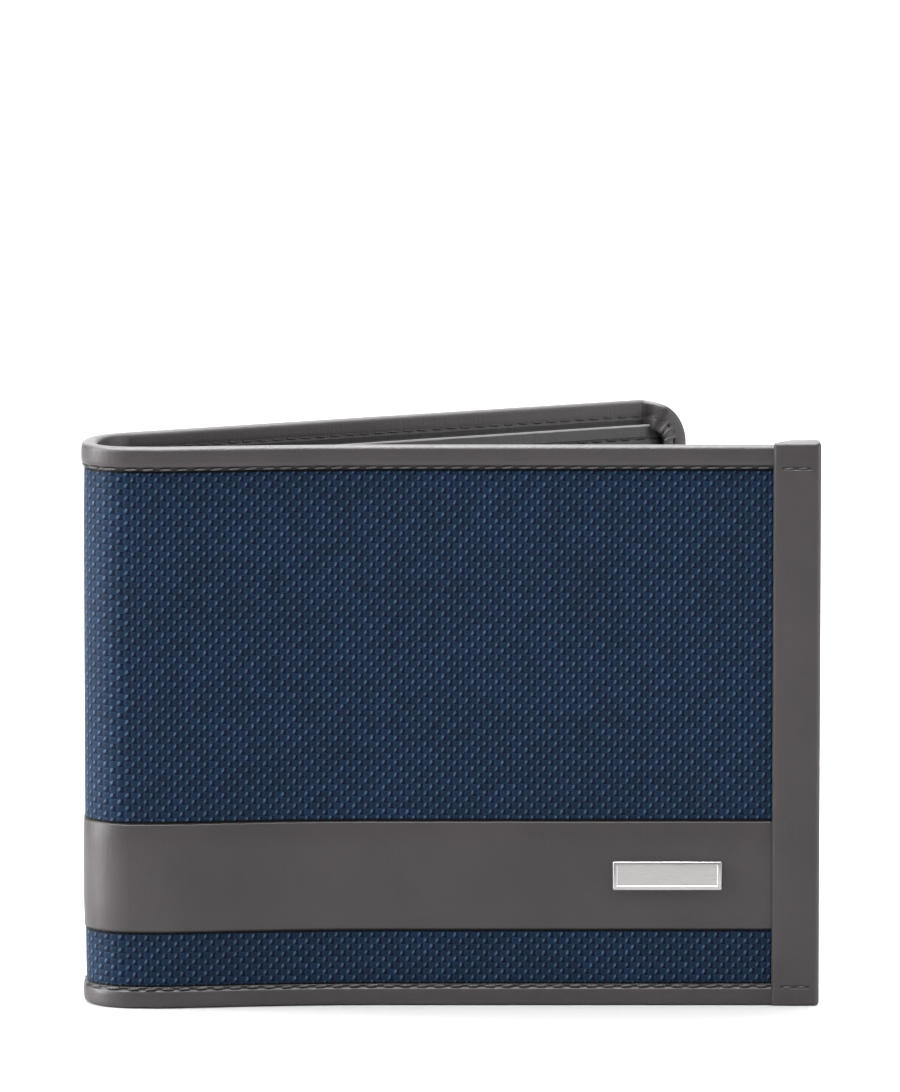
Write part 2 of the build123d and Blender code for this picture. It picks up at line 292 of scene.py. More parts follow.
class Bench:
    """The modelling operations that every piece is made with."""

    run_step = 5.0
    crease_step = 0.4
    bow_start = 62.0
    bow_step = 7.0
    bow_rise = (0.0, 0.0, 0.15, 0.7, 1.5, 2.5, 3.5, 2.5, 0.0, -0.2, 0.0)

    def __init__(self, skin: SkinLine) -> None:
        """Sets up the bench.

        Args:
            skin: The plan line that finished pieces are wrapped along.
        """
        self.skin = skin
        self.cage = self._build_cage()

    def _build_cage(self) -> Piece:
        """Builds the lattice that gives the front leaf its soft bow beside the spine.

        Returns:
            The lattice object, which never renders.
        """
        cage = bpy.data.lattices.new("bow_cage")
        cage.points_u, cage.points_v, cage.points_w = len(self.bow_rise), 2, 2
        length = self.bow_step * (len(self.bow_rise) - 1)
        holder = bpy.data.objects.new("bow_cage", cage)
        bpy.context.collection.objects.link(holder)
        thickness = 30.0
        holder.scale = Vector((self.bow_step, thickness, 100.0)) * MM
        holder.location = Vector((self.bow_start + length / 2, 0.0, 44.0)) * MM
        for i, point in enumerate(cage.points):
            point.co_deform.y += self.bow_rise[i % len(self.bow_rise)] / thickness
        holder.hide_render = True
        bpy.context.view_layer.update()
        return holder

    def stations(self, start: float, end: float) -> list[float]:
        """Spaces the rows of a sheet: wide on the flat runs and close in the creases.

        Args:
            start: Where the sheet starts along the skin.
            end: Where it ends.

        Returns:
            The rows' places, both ends included.
        """
        rows = [start]
        for begin, length, radius in self.skin.stretches:
            low, high = max(start, begin), min(end, begin + length)
            if high - low < 1e-6:
                continue
            step = self.crease_step if radius else self.run_step
            count = max(1, math.ceil((high - low) / step))
            rows += spaced(low, high, count)[1:]
        return rows

    def activate(self, piece: Piece) -> None:
        """Deselects everything, then selects one piece.

        Args:
            piece: The piece to work on.
        """
        bpy.ops.object.select_all(action="DESELECT")
        piece.select_set(True)
        bpy.context.view_layer.objects.active = piece

    def draw_chain(self, name: str, points: list[Vector]) -> Piece:
        """Draws a chain of edges by extruding one vertex from point to point.

        Args:
            name: The new object's name.
            points: The chain's points, in millimetres on the bench.

        Returns:
            The object, left in edit mode with its last vertex selected.
        """
        bpy.ops.object.select_all(action="DESELECT")
        bpy.ops.mesh.primitive_plane_add(size=MM)
        piece = bpy.context.active_object
        piece.name = piece.data.name = name
        bpy.ops.object.mode_set(mode="EDIT")
        bpy.ops.mesh.merge(type="CENTER")
        bpy.ops.transform.translate(value=points[0] * MM)
        for a, b in pairwise(points):
            bpy.ops.mesh.extrude_vertices_move(TRANSFORM_OT_translate={"value": (b - a) * MM})
        return piece

    def sweep(
        self, name: str, outline: Outline, rows: list[float], axis: int = 0
    ) -> Piece:
        """Draws an outline and extrudes it row by row.

        Args:
            name: The new object's name.
            outline: Depth and height points, or with axis 2 along and depth points.
            rows: Where each row lies on the axis that the outline is extruded along.
            axis: 0 to extrude along the skin, 2 to extrude upwards.

        Returns:
            The open sheet, left in edit mode with its last row selected.
        """
        if axis == 0:
            points = [Vector((rows[0], -depth, height)) for depth, height in outline]
        else:
            points = [Vector((along, -depth, rows[0])) for along, depth in outline]
        piece = self.draw_chain(name, points)
        bpy.ops.mesh.select_all(action="SELECT")
        for a, b in pairwise(rows):
            shift = [0.0, 0.0, 0.0]
            shift[axis] = b - a
            self.extrude(shift)
        return piece

    def extrude(self, shift: Sequence[float], count: int = 1) -> None:
        """Extrudes the selected row by a shift, in a number of equal steps."""
        step = Vector(shift) * (MM / count)
        for _ in range(count):
            bpy.ops.mesh.extrude_edges_move(TRANSFORM_OT_translate={"value": step})

    def leave_edit(self) -> None:
        """Merges doubles, turns the faces one way and goes back to object mode."""
        bpy.ops.mesh.select_all(action="SELECT")
        bpy.ops.mesh.remove_doubles(threshold=0.002 * MM)
        bpy.ops.mesh.normals_make_consistent(inside=False)
        bpy.ops.object.mode_set(mode="OBJECT")

    def apply(self, piece: Piece, name: str, kind: str, **settings: object) -> None:
        """Adds a modifier to a piece, sets it and applies it.

        Args:
            piece: The piece.
            name: The modifier's name.
            kind: The modifier's type.
            **settings: The modifier's settings.
        """
        self.activate(piece)
        modifier = piece.modifiers.new(name, kind)
        for key, value in settings.items():
            setattr(modifier, key, value)
        bpy.ops.object.modifier_apply(modifier=modifier.name)

    def thicken(self, piece: Piece, thickness: float) -> None:
        """Gives an open sheet its thickness, half to each side."""
        self.apply(
            piece,
            "Thickness",
            "SOLIDIFY",
            thickness=thickness * MM,
            offset=0.0,
            use_even_offset=True,
            use_rim=True,
        )

    def round_edges(
        self,
        piece: Piece,
        width: float,
        cuts: tuple[float, ...] = (),
        segments: int = 2,
        sharp: float = 50.0,
    ) -> None:
        """Rounds a piece's sharp edges, but leaves the ends that meet the next section.

        Args:
            piece: The piece, still flat on the bench.
            width: How wide each rounding is.
            cuts: Places along the skin where the end faces stay square.
            segments: Faces across each rounding.
            sharp: Angle in degrees past which an edge is rounded.
        """
        self.activate(piece)
        bpy.ops.object.mode_set(mode="EDIT")
        bpy.ops.mesh.select_mode(type="EDGE")
        bpy.ops.mesh.select_all(action="DESELECT")
        mesh = bmesh.from_edit_mesh(piece.data)
        for edge in mesh.edges:
            on_cut = any(
                all(abs(v.co.x - cut * MM) < 0.001 * MM for v in edge.verts) for cut in cuts
            )
            angle = edge.calc_face_angle(0.0)
            edge.select_set(angle > math.radians(sharp) and not on_cut)
        bmesh.update_edit_mesh(piece.data)
        bpy.ops.mesh.bevel(
            offset=width * MM, offset_type="OFFSET", segments=segments, affect="EDGES"
        )
        bpy.ops.mesh.select_mode(type="VERT")
        bpy.ops.object.mode_set(mode="OBJECT")

    def trim_corner(
        self, piece: Piece, along: float, height: float, rise: float
    ) -> None:
        """Cuts a sheet's corner off at 45 degrees, where the end leather hides it.

        Args:
            piece: The sheet, before it has thickness.
            along: A place that the cut passes through.
            height: Its height.
            rise: 1 for a top corner and -1 for a bottom one.
        """
        self.activate(piece)
        bpy.ops.object.mode_set(mode="EDIT")
        bpy.ops.mesh.select_all(action="SELECT")
        bpy.ops.mesh.bisect(
            plane_co=(along * MM, 0.0, height * MM), plane_no=(1.0, 0.0, rise), clear_outer=True
        )
        bpy.ops.object.mode_set(mode="OBJECT")

    def finish(
        self, piece: Piece, material: Material, smooth: float = 40.0
    ) -> None:
        """Wraps a flat piece round the skin line, shades it and dresses it.

        Its place on the bench stays with it as the attribute that its material reads.

        Args:
            piece: The finished flat piece.
            material: Its finish.
            smooth: Angle in degrees under which edges are shaded smooth.
        """
        laid = piece.data.attributes.new("bench", "FLOAT_VECTOR", "POINT")
        for vertex, entry in zip(piece.data.vertices, laid.data):
            entry.vector = vertex.co
        self.apply(piece, "Bow", "LATTICE", object=self.cage)
        self.apply(piece, "Wrap", "CURVE", object=self.skin.path, deform_axis="POS_X")
        self.dress(piece, material, smooth)

    def dress(
        self, piece: Piece, material: Material, smooth: float = 40.0
    ) -> None:
        """Turns a piece's faces outwards, shades it and gives it its material.

        Args:
            piece: The piece, in its place.
            material: Its finish.
            smooth: Angle in degrees under which edges are shaded smooth.
        """
        self.activate(piece)
        bpy.ops.object.mode_set(mode="EDIT")
        bpy.ops.mesh.select_all(action="SELECT")
        bpy.ops.mesh.normals_make_consistent(inside=False)
        bpy.ops.object.mode_set(mode="OBJECT")
        bpy.ops.object.shade_smooth_by_angle(angle=math.radians(smooth))
        piece.data.materials.clear()
        piece.data.materials.append(material)


def spaced(start: float, end: float, count: int) -> list[float]:
    """Spaces count steps from start to end, both included."""
    return [start + (end - start) * i / count for i in range(count + 1)]


def arc(
    centre: Pair, radius: float, start: float, end: float, count: int
) -> Outline:
    """Spaces points along an arc.

    Args:
        centre: The arc's centre.
        radius: Its radius.
        start: Its first angle in degrees.
        end: Its last angle in degrees.
        count: How many steps it takes.

    Returns:
        The points, both ends included.
    """
    angles = [math.radians(angle) for angle in spaced(start, end, count)]
    return [(centre[0] + radius * math.cos(a), centre[1] + radius * math.sin(a)) for a in angles]


# ---------------------------------------------------------------- finishes


class Graph:
    """A material's node tree, with short calls that add and link its nodes."""

    def __init__(self, name: str, scale: float = 1000.0, laid_flat: bool = True) -> None:
        """Starts a material.

        Args:
            name: The material's name.
            scale: What its coordinates are multiplied by, 1000 for millimetres.
            laid_flat: True to read the bench attribute, False for Object coordinates.
        """
        self.material = bpy.data.materials.new(name)
        self.material.use_nodes = True
        self.tree = self.material.node_tree
        self.shader = self.tree.nodes["Principled BSDF"]
        if laid_flat:
            source = self.add("ShaderNodeAttribute", attribute_name="bench").outputs["Vector"]
        else:
            source = self.add("ShaderNodeTexCoord").outputs["Object"]
        sizing = self.add("ShaderNodeMapping")
        sizing.inputs["Scale"].default_value = (scale, scale, scale)
        self.link(source, sizing.inputs["Vector"])
        self.place = sizing.outputs["Vector"]

    def add(self, kind: str, **settings: object) -> bpy.types.Node:
        """Adds a node and sets its properties.

        Args:
            kind: The node's type.
            **settings: Its properties.

        Returns:
            The node.
        """
        node = self.tree.nodes.new(kind)
        for key, value in settings.items():
            setattr(node, key, value)
        return node

    def link(self, source: object, target: Socket) -> None:
        """Links a socket to an input, or sets the input to a constant."""
        if isinstance(source, Socket):
            self.tree.links.new(source, target)
        else:
            target.default_value = source

    def math(self, operation: str, *values: object, clamp: bool = False) -> Socket:
        """Adds a Math node.

        Args:
            operation: The node's operation.
            *values: Sockets or numbers for its inputs.
            clamp: Whether the result is kept between 0 and 1.

        Returns:
            Its output.
        """
        node = self.add("ShaderNodeMath", operation=operation, use_clamp=clamp)
        for value, target in zip(values, node.inputs):
            self.link(value, target)
        return node.outputs[0]

    def stretch(self, scale: Triple) -> Socket:
        """Scales the coordinates differently along each axis.

        Args:
            scale: The factor along each axis.

        Returns:
            The scaled coordinates.
        """
        node = self.add("ShaderNodeMapping")
        node.inputs["Scale"].default_value = scale
        self.link(self.place, node.inputs["Vector"])
        return node.outputs["Vector"]

    def noise(
        self, scale: float, detail: float = 2.0, vector: Socket | None = None
    ) -> Socket:
        """Adds a Noise texture and returns its factor.

        Args:
            scale: How fine the noise is.
            detail: How many finer layers it has.
            vector: The coordinates it reads, if not the piece's own.

        Returns:
            Its factor.
        """
        node = self.add("ShaderNodeTexNoise")
        node.inputs["Scale"].default_value = scale
        node.inputs["Detail"].default_value = detail
        self.link(vector or self.place, node.inputs["Vector"])
        return node.outputs["Fac"]

    def remap(
        self, value: object, low: float, high: float, to_low: float = 0.0, to_high: float = 1.0
    ) -> Socket:
        """Maps a range of a value smoothly onto another range.

        Args:
            value: The value.
            low: Where its range starts.
            high: Where its range ends.
            to_low: What the start becomes.
            to_high: What the end becomes.

        Returns:
            The mapped value.
        """
        node = self.add("ShaderNodeMapRange", interpolation_type="SMOOTHSTEP")
        for source, target in zip((value, low, high, to_low, to_high), node.inputs):
            self.link(source, target)
        return node.outputs["Result"]

    def mix(self, factor: object, first: object, second: object) -> Socket:
        """Mixes two colours, each a socket or a linear colour.

        Args:
            factor: The share of the second colour.
            first: The first colour.
            second: The second colour.

        Returns:
            The mixed colour.
        """
        node = self.add("ShaderNodeMix", data_type="RGBA")
        self.link(factor, node.inputs[0])
        for source, target in zip((first, second), (node.inputs[6], node.inputs[7])):
            self.link(source if isinstance(source, Socket) else (*source, 1.0), target)
        return node.outputs[2]

    def bump(
        self, height: Socket, depth: float, strength: float = 1.0, under: object = None
    ) -> Socket:
        """Adds a Bump node.

        Args:
            height: The relief, from 0 to 1.
            depth: How deep the relief is, in millimetres.
            strength: How much of it shows.
            under: The normal that it is laid over.

        Returns:
            The bumped normal.
        """
        node = self.add("ShaderNodeBump")
        node.inputs["Strength"].default_value = strength
        node.inputs["Distance"].default_value = depth * MM
        self.link(height, node.inputs["Height"])
        if under is not None:
            self.link(under, node.inputs["Normal"])
        return node.outputs["Normal"]

    def shade(self, **inputs: object) -> Material:
        """Sets the shader's inputs, with spaces written as underscores, and ends the material."""
        for key, value in inputs.items():
            target = self.shader.inputs[key.replace("_", " ")]
            if isinstance(value, tuple) and len(value) == 3:
                value = (*value, 1.0)
            self.link(value, target)
        return self.material


@dataclass(frozen=True)
class BallisticNylon:
    """Heavy woven nylon: staggered floats, each with a painted glint at one end, and painted shade
    in the dark gaps between them.

    Its shadow heights are where painted shadow darkens it beside the band's edges and the seams.
    """

    float_pitch: float = 1.85
    row_pitch: float = 0.97
    gap_shade: Triple = (0.0003, 0.0036, 0.0160)
    yarn: Triple = (0.0062, 0.0218, 0.0525)
    glint_colour: Triple = (0.0540, 0.0960, 0.1580)
    shadow_heights: tuple[float, ...] = ()

    def make(self) -> Material:
        """Builds the cloth's material.

        Returns:
            The material.
        """
        g = Graph("ballistic_nylon")
        wander = g.noise(0.25, 1.0)
        axes = g.add("ShaderNodeSeparateXYZ")
        g.link(g.place, axes.inputs[0])
        sway = g.math("MULTIPLY_ADD", wander, 0.5, -0.25)
        height = g.math("DIVIDE", g.math("ADD", axes.outputs["Z"], sway), self.row_pitch)
        row = g.math("FLOOR", height)
        stagger = g.math("MULTIPLY", g.math("MODULO", row, 2.0), 0.5)
        along = g.math("ADD", g.math("DIVIDE", axes.outputs["X"], -self.float_pitch), stagger)
        column = g.math("FLOOR", along)
        across = g.math("SUBTRACT", g.math("FRACT", along), 0.5)
        up = g.math("SUBTRACT", g.math("FRACT", height), 0.5)
        body = self._dome(g, across, up, (-0.06, 0.37, 0.62), 0.0, 4.0)
        tick = self._dome(g, across, g.math("SUBTRACT", up, 0.08), (0.24, 0.13, 0.39), 0.20, 2.0)
        relief = g.math("MAXIMUM", g.math("MULTIPLY", body, 0.75), tick)
        cell = g.add("ShaderNodeCombineXYZ")
        g.link(column, cell.inputs[0])
        g.link(row, cell.inputs[1])
        chance = g.add("ShaderNodeTexWhiteNoise", noise_dimensions="2D")
        g.link(cell.outputs[0], chance.inputs["Vector"])
        strands = g.noise(1.0, 2.0, g.stretch((1.2, 1.0, 11.0)))
        # Where the dome falls away between the floats, the colour goes to near black: painted shade
        # in the weave's holes.
        colour = g.mix(g.remap(body, 0.0, 0.7), self.gap_shade, self.yarn)
        # The tick takes the glint colour: a painted highlight at the upper end of each float.
        colour = g.mix(g.math("MULTIPLY", g.remap(tick, 0.1, 0.9), 0.8), colour, self.glint_colour)
        # Painted light across each float: lighter at its rim, darker in its middle. Random tone per
        # float and along the strands follows.
        shade = g.remap(body, 0.55, 1.0, 1.18, 0.72)
        lot = g.math("MULTIPLY_ADD", chance.outputs["Value"], 0.30, 0.85)
        shade = g.math("MULTIPLY", shade, lot)
        shade = g.math("MULTIPLY", shade, g.math("MULTIPLY_ADD", strands, 1.2, 0.40))
        shade = g.math("MULTIPLY", shade, g.math("MULTIPLY_ADD", g.noise(0.05, 2.0), 0.4, 0.80))
        # Painted shadow: the nylon is darkened in a line beside the band's edges and the seams.
        for shadow_height in self.shadow_heights:
            away = g.math("ABSOLUTE", g.math("SUBTRACT", axes.outputs["Z"], shadow_height))
            shade = g.math("MULTIPLY", shade, g.remap(away, 0.16, 0.42, 0.08, 1.0))
        tint = g.add("ShaderNodeHueSaturation")
        g.link(shade, tint.inputs["Value"])
        g.link(colour, tint.inputs["Color"])
        fine = g.bump(strands, 0.02)
        normal = g.bump(relief, 0.16, under=fine)
        return g.shade(
            Base_Color=tint.outputs["Color"],
            Roughness=g.math("MULTIPLY_ADD", tick, -0.16, 0.56),
            Sheen_Weight=0.12,
            Sheen_Roughness=0.30,
            Sheen_Tint=(0.60, 0.78, 1.0),
            Specular_IOR_Level=0.09,
            Normal=normal,
        )

    @staticmethod
    def _dome(
        g: Graph,
        across: Socket,
        up: Socket,
        shape: Triple,
        slant: float,
        squareness: float,
    ) -> Socket:
        """Raises a slanted dome in each cell of the weave.

        Args:
            g: The material's graph.
            across: Place across the cell, from -0.5 to 0.5.
            up: Place up the cell, from -0.5 to 0.5.
            shape: Where its middle lies across the cell, half its width and half its height.
            slant: How far it leans to the right as it rises.
            squareness: 2 for an oval, more for squarer ends.

        Returns:
            The dome's height, from 0 to 1.
        """
        centre, half_width, half_height = shape
        lean = g.math("MULTIPLY_ADD", up, -slant, across)
        x = g.math("DIVIDE", g.math("SUBTRACT", lean, centre), half_width)
        ends = g.math("POWER", g.math("ABSOLUTE", x), squareness)
        y = g.math("DIVIDE", up, half_height)
        near = g.math("ADD", ends, g.math("MULTIPLY", y, y))
        return g.math("SQRT", g.math("SUBTRACT", 1.0, near, clamp=True))


@dataclass(frozen=True)
class Crease:
    """A line pressed along a piece and coloured, level or upright.

    Its tone is its colour as a share of the leather's own: low tones give painted shade and edge
    dye, high tones a painted highlight.
    """

    place: float
    half_width: float
    darkness: float
    depth: float = 0.1
    start: float = -5.0
    end: float = 500.0
    upright: bool = False
    tone: float = 0.08


@dataclass(frozen=True)
class SmoothLeather:
    """Fine-grained dyed calf leather with a satin surface."""

    name: str
    dye: Triple = (0.0503, 0.0437, 0.0466)
    roughness: float = 0.46
    grain: float = 0.035
    creases: tuple[Crease, ...] = ()

    def make(self) -> Material:
        """Builds the leather's material, with its pressed lines and the painted shade, edge dye and
        highlights along them.

        Returns:
            The material.
        """
        g = Graph(self.name)
        warp = g.add("ShaderNodeTexNoise")
        warp.inputs["Scale"].default_value = 1.6
        g.link(g.place, warp.inputs["Vector"])
        bent = g.add("ShaderNodeVectorMath", operation="MULTIPLY_ADD")
        g.link(warp.outputs["Color"], bent.inputs[0])
        bent.inputs[1].default_value = (0.5, 0.5, 0.5)
        g.link(g.place, bent.inputs[2])
        pores = g.add("ShaderNodeTexVoronoi", feature="SMOOTH_F1")
        pores.inputs["Scale"].default_value = 3.2
        pores.inputs["Smoothness"].default_value = 0.35
        g.link(bent.outputs[0], pores.inputs["Vector"])
        dark = tuple(c * 0.88 for c in self.dye)
        light = tuple(c * 1.10 for c in self.dye)
        colour = g.mix(g.remap(g.noise(0.06, 3.0), 0.3, 0.7), dark, light)
        colour = g.mix(g.math("MULTIPLY", pores.outputs["Distance"], 0.2), colour, dark)
        drawn = g.noise(1.0, 3.0, g.stretch((2.6, 2.6, 0.35)))
        colour = g.mix(g.math("MULTIPLY", g.remap(drawn, 0.35, 0.75), 0.22), colour, light)
        normal = g.bump(g.noise(0.9, 4.0), 0.05, 0.4, g.bump(drawn, 0.05, 0.7))
        normal = g.bump(pores.outputs["Distance"], self.grain, 0.6, normal)
        # Each crease colours the leather along its line: painted shade in seam grooves, edge dye
        # and painted shadow at the band, a painted highlight on the divider's top edge.
        for crease in self.creases:
            mark = self._mark(g, crease)
            paint = g.math("MULTIPLY", mark, crease.darkness)
            colour = g.mix(paint, colour, tuple(c * crease.tone for c in self.dye))
            normal = g.bump(g.math("SUBTRACT", 1.0, mark), crease.depth, 1.0, normal)
        gloss = g.math("MULTIPLY_ADD", g.noise(0.4, 3.0), 0.16, self.roughness - 0.08)
        return g.shade(
            Base_Color=colour, Roughness=gloss, Specular_IOR_Level=0.36, Normal=normal
        )

    @staticmethod
    def _mark(g: Graph, crease: Crease) -> Socket:
        """Marks where a crease runs.

        Args:
            g: The material's graph.
            crease: The crease.

        Returns:
            1 along its middle, falling to 0 at its sides and ends.
        """
        axes = g.add("ShaderNodeSeparateXYZ")
        g.link(g.place, axes.inputs[0])
        along = axes.outputs["X"]
        across = along if crease.upright else axes.outputs["Z"]
        sway = g.math("MULTIPLY_ADD", g.noise(0.35, 2.0), 0.16, crease.place - 0.08)
        away = g.math("ABSOLUTE", g.math("SUBTRACT", across, sway))
        mark = g.remap(away, crease.half_width * 0.5, crease.half_width, 1.0, 0.0)
        if crease.start > 0.0:
            inside = g.remap(along, crease.start - 0.3, crease.start + 0.3)
            past = g.remap(along, crease.end - 0.3, crease.end + 0.3, 1.0, 0.0)
            mark = g.math("MULTIPLY", mark, g.math("MULTIPLY", inside, past))
        return mark


@dataclass(frozen=True)
class PlainCloth:
    """A fine plain-woven cloth."""

    name: str
    colour: Triple
    pitch: float = 0.34

    def make(self) -> Material:
        """Builds the cloth's material from two crossing sets of yarns.

        Returns:
            The material.
        """
        g = Graph(self.name)
        yarns = []
        for direction in ("X", "Z"):
            wave = g.add("ShaderNodeTexWave", bands_direction=direction)
            wave.inputs["Scale"].default_value = 2 * math.pi / self.pitch / 20
            wave.inputs["Distortion"].default_value = 0.4
            wave.inputs["Detail Scale"].default_value = 2.0
            g.link(g.place, wave.inputs["Vector"])
            yarns.append(wave.outputs["Fac"])
        weave = g.math("MULTIPLY", *yarns)
        fade = g.noise(0.08, 3.0)
        # The low places between the yarns are coloured darker: painted shade between the yarns.
        deep = tuple(c * 0.45 for c in self.colour)
        colour = g.mix(g.remap(weave, 0.0, 0.5), deep, self.colour)
        colour = g.mix(g.math("MULTIPLY", fade, 0.3), colour, tuple(c * 1.3 for c in self.colour))
        return g.shade(
            Base_Color=colour,
            Roughness=0.72,
            Sheen_Weight=0.1,
            Normal=g.bump(weave, 0.06),
        )


@dataclass(frozen=True)
class TwistedThread:
    """Bonded polyester sewing thread, twisted from three plies."""

    name: str = "sewing_thread"
    colour: Triple = (0.105, 0.098, 0.106)

    def make(self) -> Material:
        """Builds the thread's material, with its plies as slanting bands.

        Returns:
            The material.
        """
        g = Graph(self.name)
        turned = g.add("ShaderNodeMapping")
        turned.inputs["Rotation"].default_value = (0.0, math.radians(38.0), 0.0)
        g.link(g.place, turned.inputs["Vector"])
        plies = g.add("ShaderNodeTexWave")
        plies.inputs["Scale"].default_value = 1.1
        g.link(turned.outputs["Vector"], plies.inputs["Vector"])
        # The grooves between the plies are coloured darker: painted shade between the plies.
        colour = g.mix(plies.outputs["Fac"], tuple(c * 0.35 for c in self.colour), self.colour)
        return g.shade(
            Base_Color=colour,
            Roughness=0.5,
            Specular_IOR_Level=0.4,
            Normal=g.bump(plies.outputs["Fac"], 0.05),
        )


@dataclass(frozen=True)
class BrushedMetal:
    """Nickel-plated metal, brushed along the plate."""

    name: str
    colour: Triple = (0.50, 0.488, 0.484)
    roughness: float = 0.3

    def make(self) -> Material:
        """Builds the metal's material from long fine scratches.

        Returns:
            The material.
        """
        g = Graph(self.name)
        scratches = g.noise(1.0, 3.0, g.stretch((0.35, 9.0, 26.0)))
        tarnish = g.noise(0.3, 2.0)
        colour = g.mix(
            g.remap(scratches, 0.3, 0.7), tuple(c * 0.82 for c in self.colour), self.colour
        )
        colour = g.mix(g.math("MULTIPLY", tarnish, 0.15), colour, (0.4, 0.38, 0.36))
        rough = g.math("MULTIPLY_ADD", scratches, 0.2, self.roughness - 0.1)
        return g.shade(
            Base_Color=colour, Metallic=1.0, Roughness=rough, Normal=g.bump(scratches, 0.012, 0.5)
        )


class Finishes:
    """Every finish that the wallet's pieces share."""

    def __init__(
        self,
        seams: tuple[float, ...],
        band: tuple[float, ...],
        tacks: tuple[float, ...],
        divider_top: float,
    ) -> None:
        """Makes the materials.

        Args:
            seams: The heights of the seams that hold the bindings.
            band: The heights of the leather band's edges.
            tacks: The heights of the short seams across the end strip.
            divider_top: The height of the note divider's cut edge.
        """
        # Heights where painted shadow darkens the nylon beside the band's edges and the seams.
        nylon_shadow_heights = (band[0] - 0.12, band[1] + 0.12, seams[0] - 0.35, seams[1] + 0.35)
        self.nylon = BallisticNylon(shadow_heights=nylon_shadow_heights).make()
        # Dark lines along the outer seams: painted shade in the groove where the thread pulls the
        # leather in, partly the binding's dyed edge.
        sewn = tuple(Crease(height, 0.44, 0.93, 0.05) for height in seams)
        # Dark lines along the band's edges: edge dye, partly painted shadow under the edge.
        painted = tuple(Crease(height, 0.26, 0.95, 0.05) for height in band)
        # Dark lines across the end strip at its tacks: painted shade where the stitches pull the
        # leather in; and an upright dark line along the strip's inner edge.
        tack_shade_and_edge_lines = tuple(Crease(height, 0.34, 0.85, 0.15, 1.6, 6.0) for height in tacks)
        tack_shade_and_edge_lines += (Crease(7.45, 0.32, 0.85, 0.03, upright=True),)
        self.leather = SmoothLeather("outer_leather", creases=sewn).make()
        self.strip = SmoothLeather("strip_leather", creases=tack_shade_and_edge_lines).make()
        self.end = SmoothLeather("end_leather").make()
        self.band = SmoothLeather("band_leather", creases=painted).make()
        self.inner = SmoothLeather("inner_leather", roughness=0.5).make()
        # A light line along the divider's top edge: a painted highlight, partly a lighter raw edge.
        cut = Crease(divider_top, 0.34, 1.0, 0.02, tone=7.5)
        # A dark line along the divider's seam: painted shade in the stitched groove.
        sewn = Crease(divider_top - ShellSheets.seam_drop, 0.30, 0.8, 0.10)
        self.divider = SmoothLeather(
            "divider_leather", (0.0480, 0.0455, 0.0468), 0.5, creases=(cut, sewn)
        ).make()
        self.lining = PlainCloth("lining_cloth", (0.030, 0.030, 0.034)).make()
        self.board = PlainCloth("stiffener_felt", (0.36, 0.34, 0.31), 0.5).make()
        self.thread = TwistedThread().make()
        # A darker copy of the sewing thread for the rows inside: partly painted shade, partly the
        # darker back thread.
        self.shaded_back_thread = TwistedThread("shaded_back_thread", (0.022, 0.019, 0.019)).make()
        self.metal = BrushedMetal("brushed_nickel").make()
        self.clip = BrushedMetal("clip_steel", (0.42, 0.42, 0.43), 0.42).make()


@dataclass
class Workshop:
    """What every sub-assembly needs: sizes, the skin line, its sections, tools and finishes."""

    sizes: ShellSizes
    skin: SkinLine
    sections: list[Section]
    bench: Bench
    finishes: Finishes

    def place(
        self,
        piece: Piece,
        finish: Material,
        slot: str,
        rides: str | tuple[Section, float],
        stands_for: tuple[str, ...] = (),
        smooth: float = 40.0,
    ) -> Piece:
        """Wraps a flat piece into place and puts it on its body; a piece in a section stays fixed
        where it is wrapped.

        Args:
            piece: The finished flat piece.
            finish: Its material.
            slot: The name of its finish's slot; not used.
            rides: Its body, or its section and the depth at the middle of its thickness.
            stands_for: The CAD nodes that it replaces.
            smooth: Angle in degrees under which edges are shaded smooth.

        Returns:
            The piece.
        """
        self.bench.finish(piece, finish, smooth)
        if isinstance(rides, str):
            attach(piece, rides)
        else:
            section, depth = rides
            start, end = (self.skin.point(along, depth) for along in section.bend)
            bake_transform(piece)
        if stands_for:
            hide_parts(*stands_for)
        LOG.info("%s: %d faces", piece.name, len(piece.data.polygons))
        return piece


# ---------------------------------------------------------------- sub-assemblies


class Layer(Enum):
    """The cloth and leather sheets that run round the spine, by CAD node name."""

    NYLON = "nylon"
    BOARD = "stiffener"
    LINING = "lining"
    DIVIDER = "divider"
    BAND = "band"


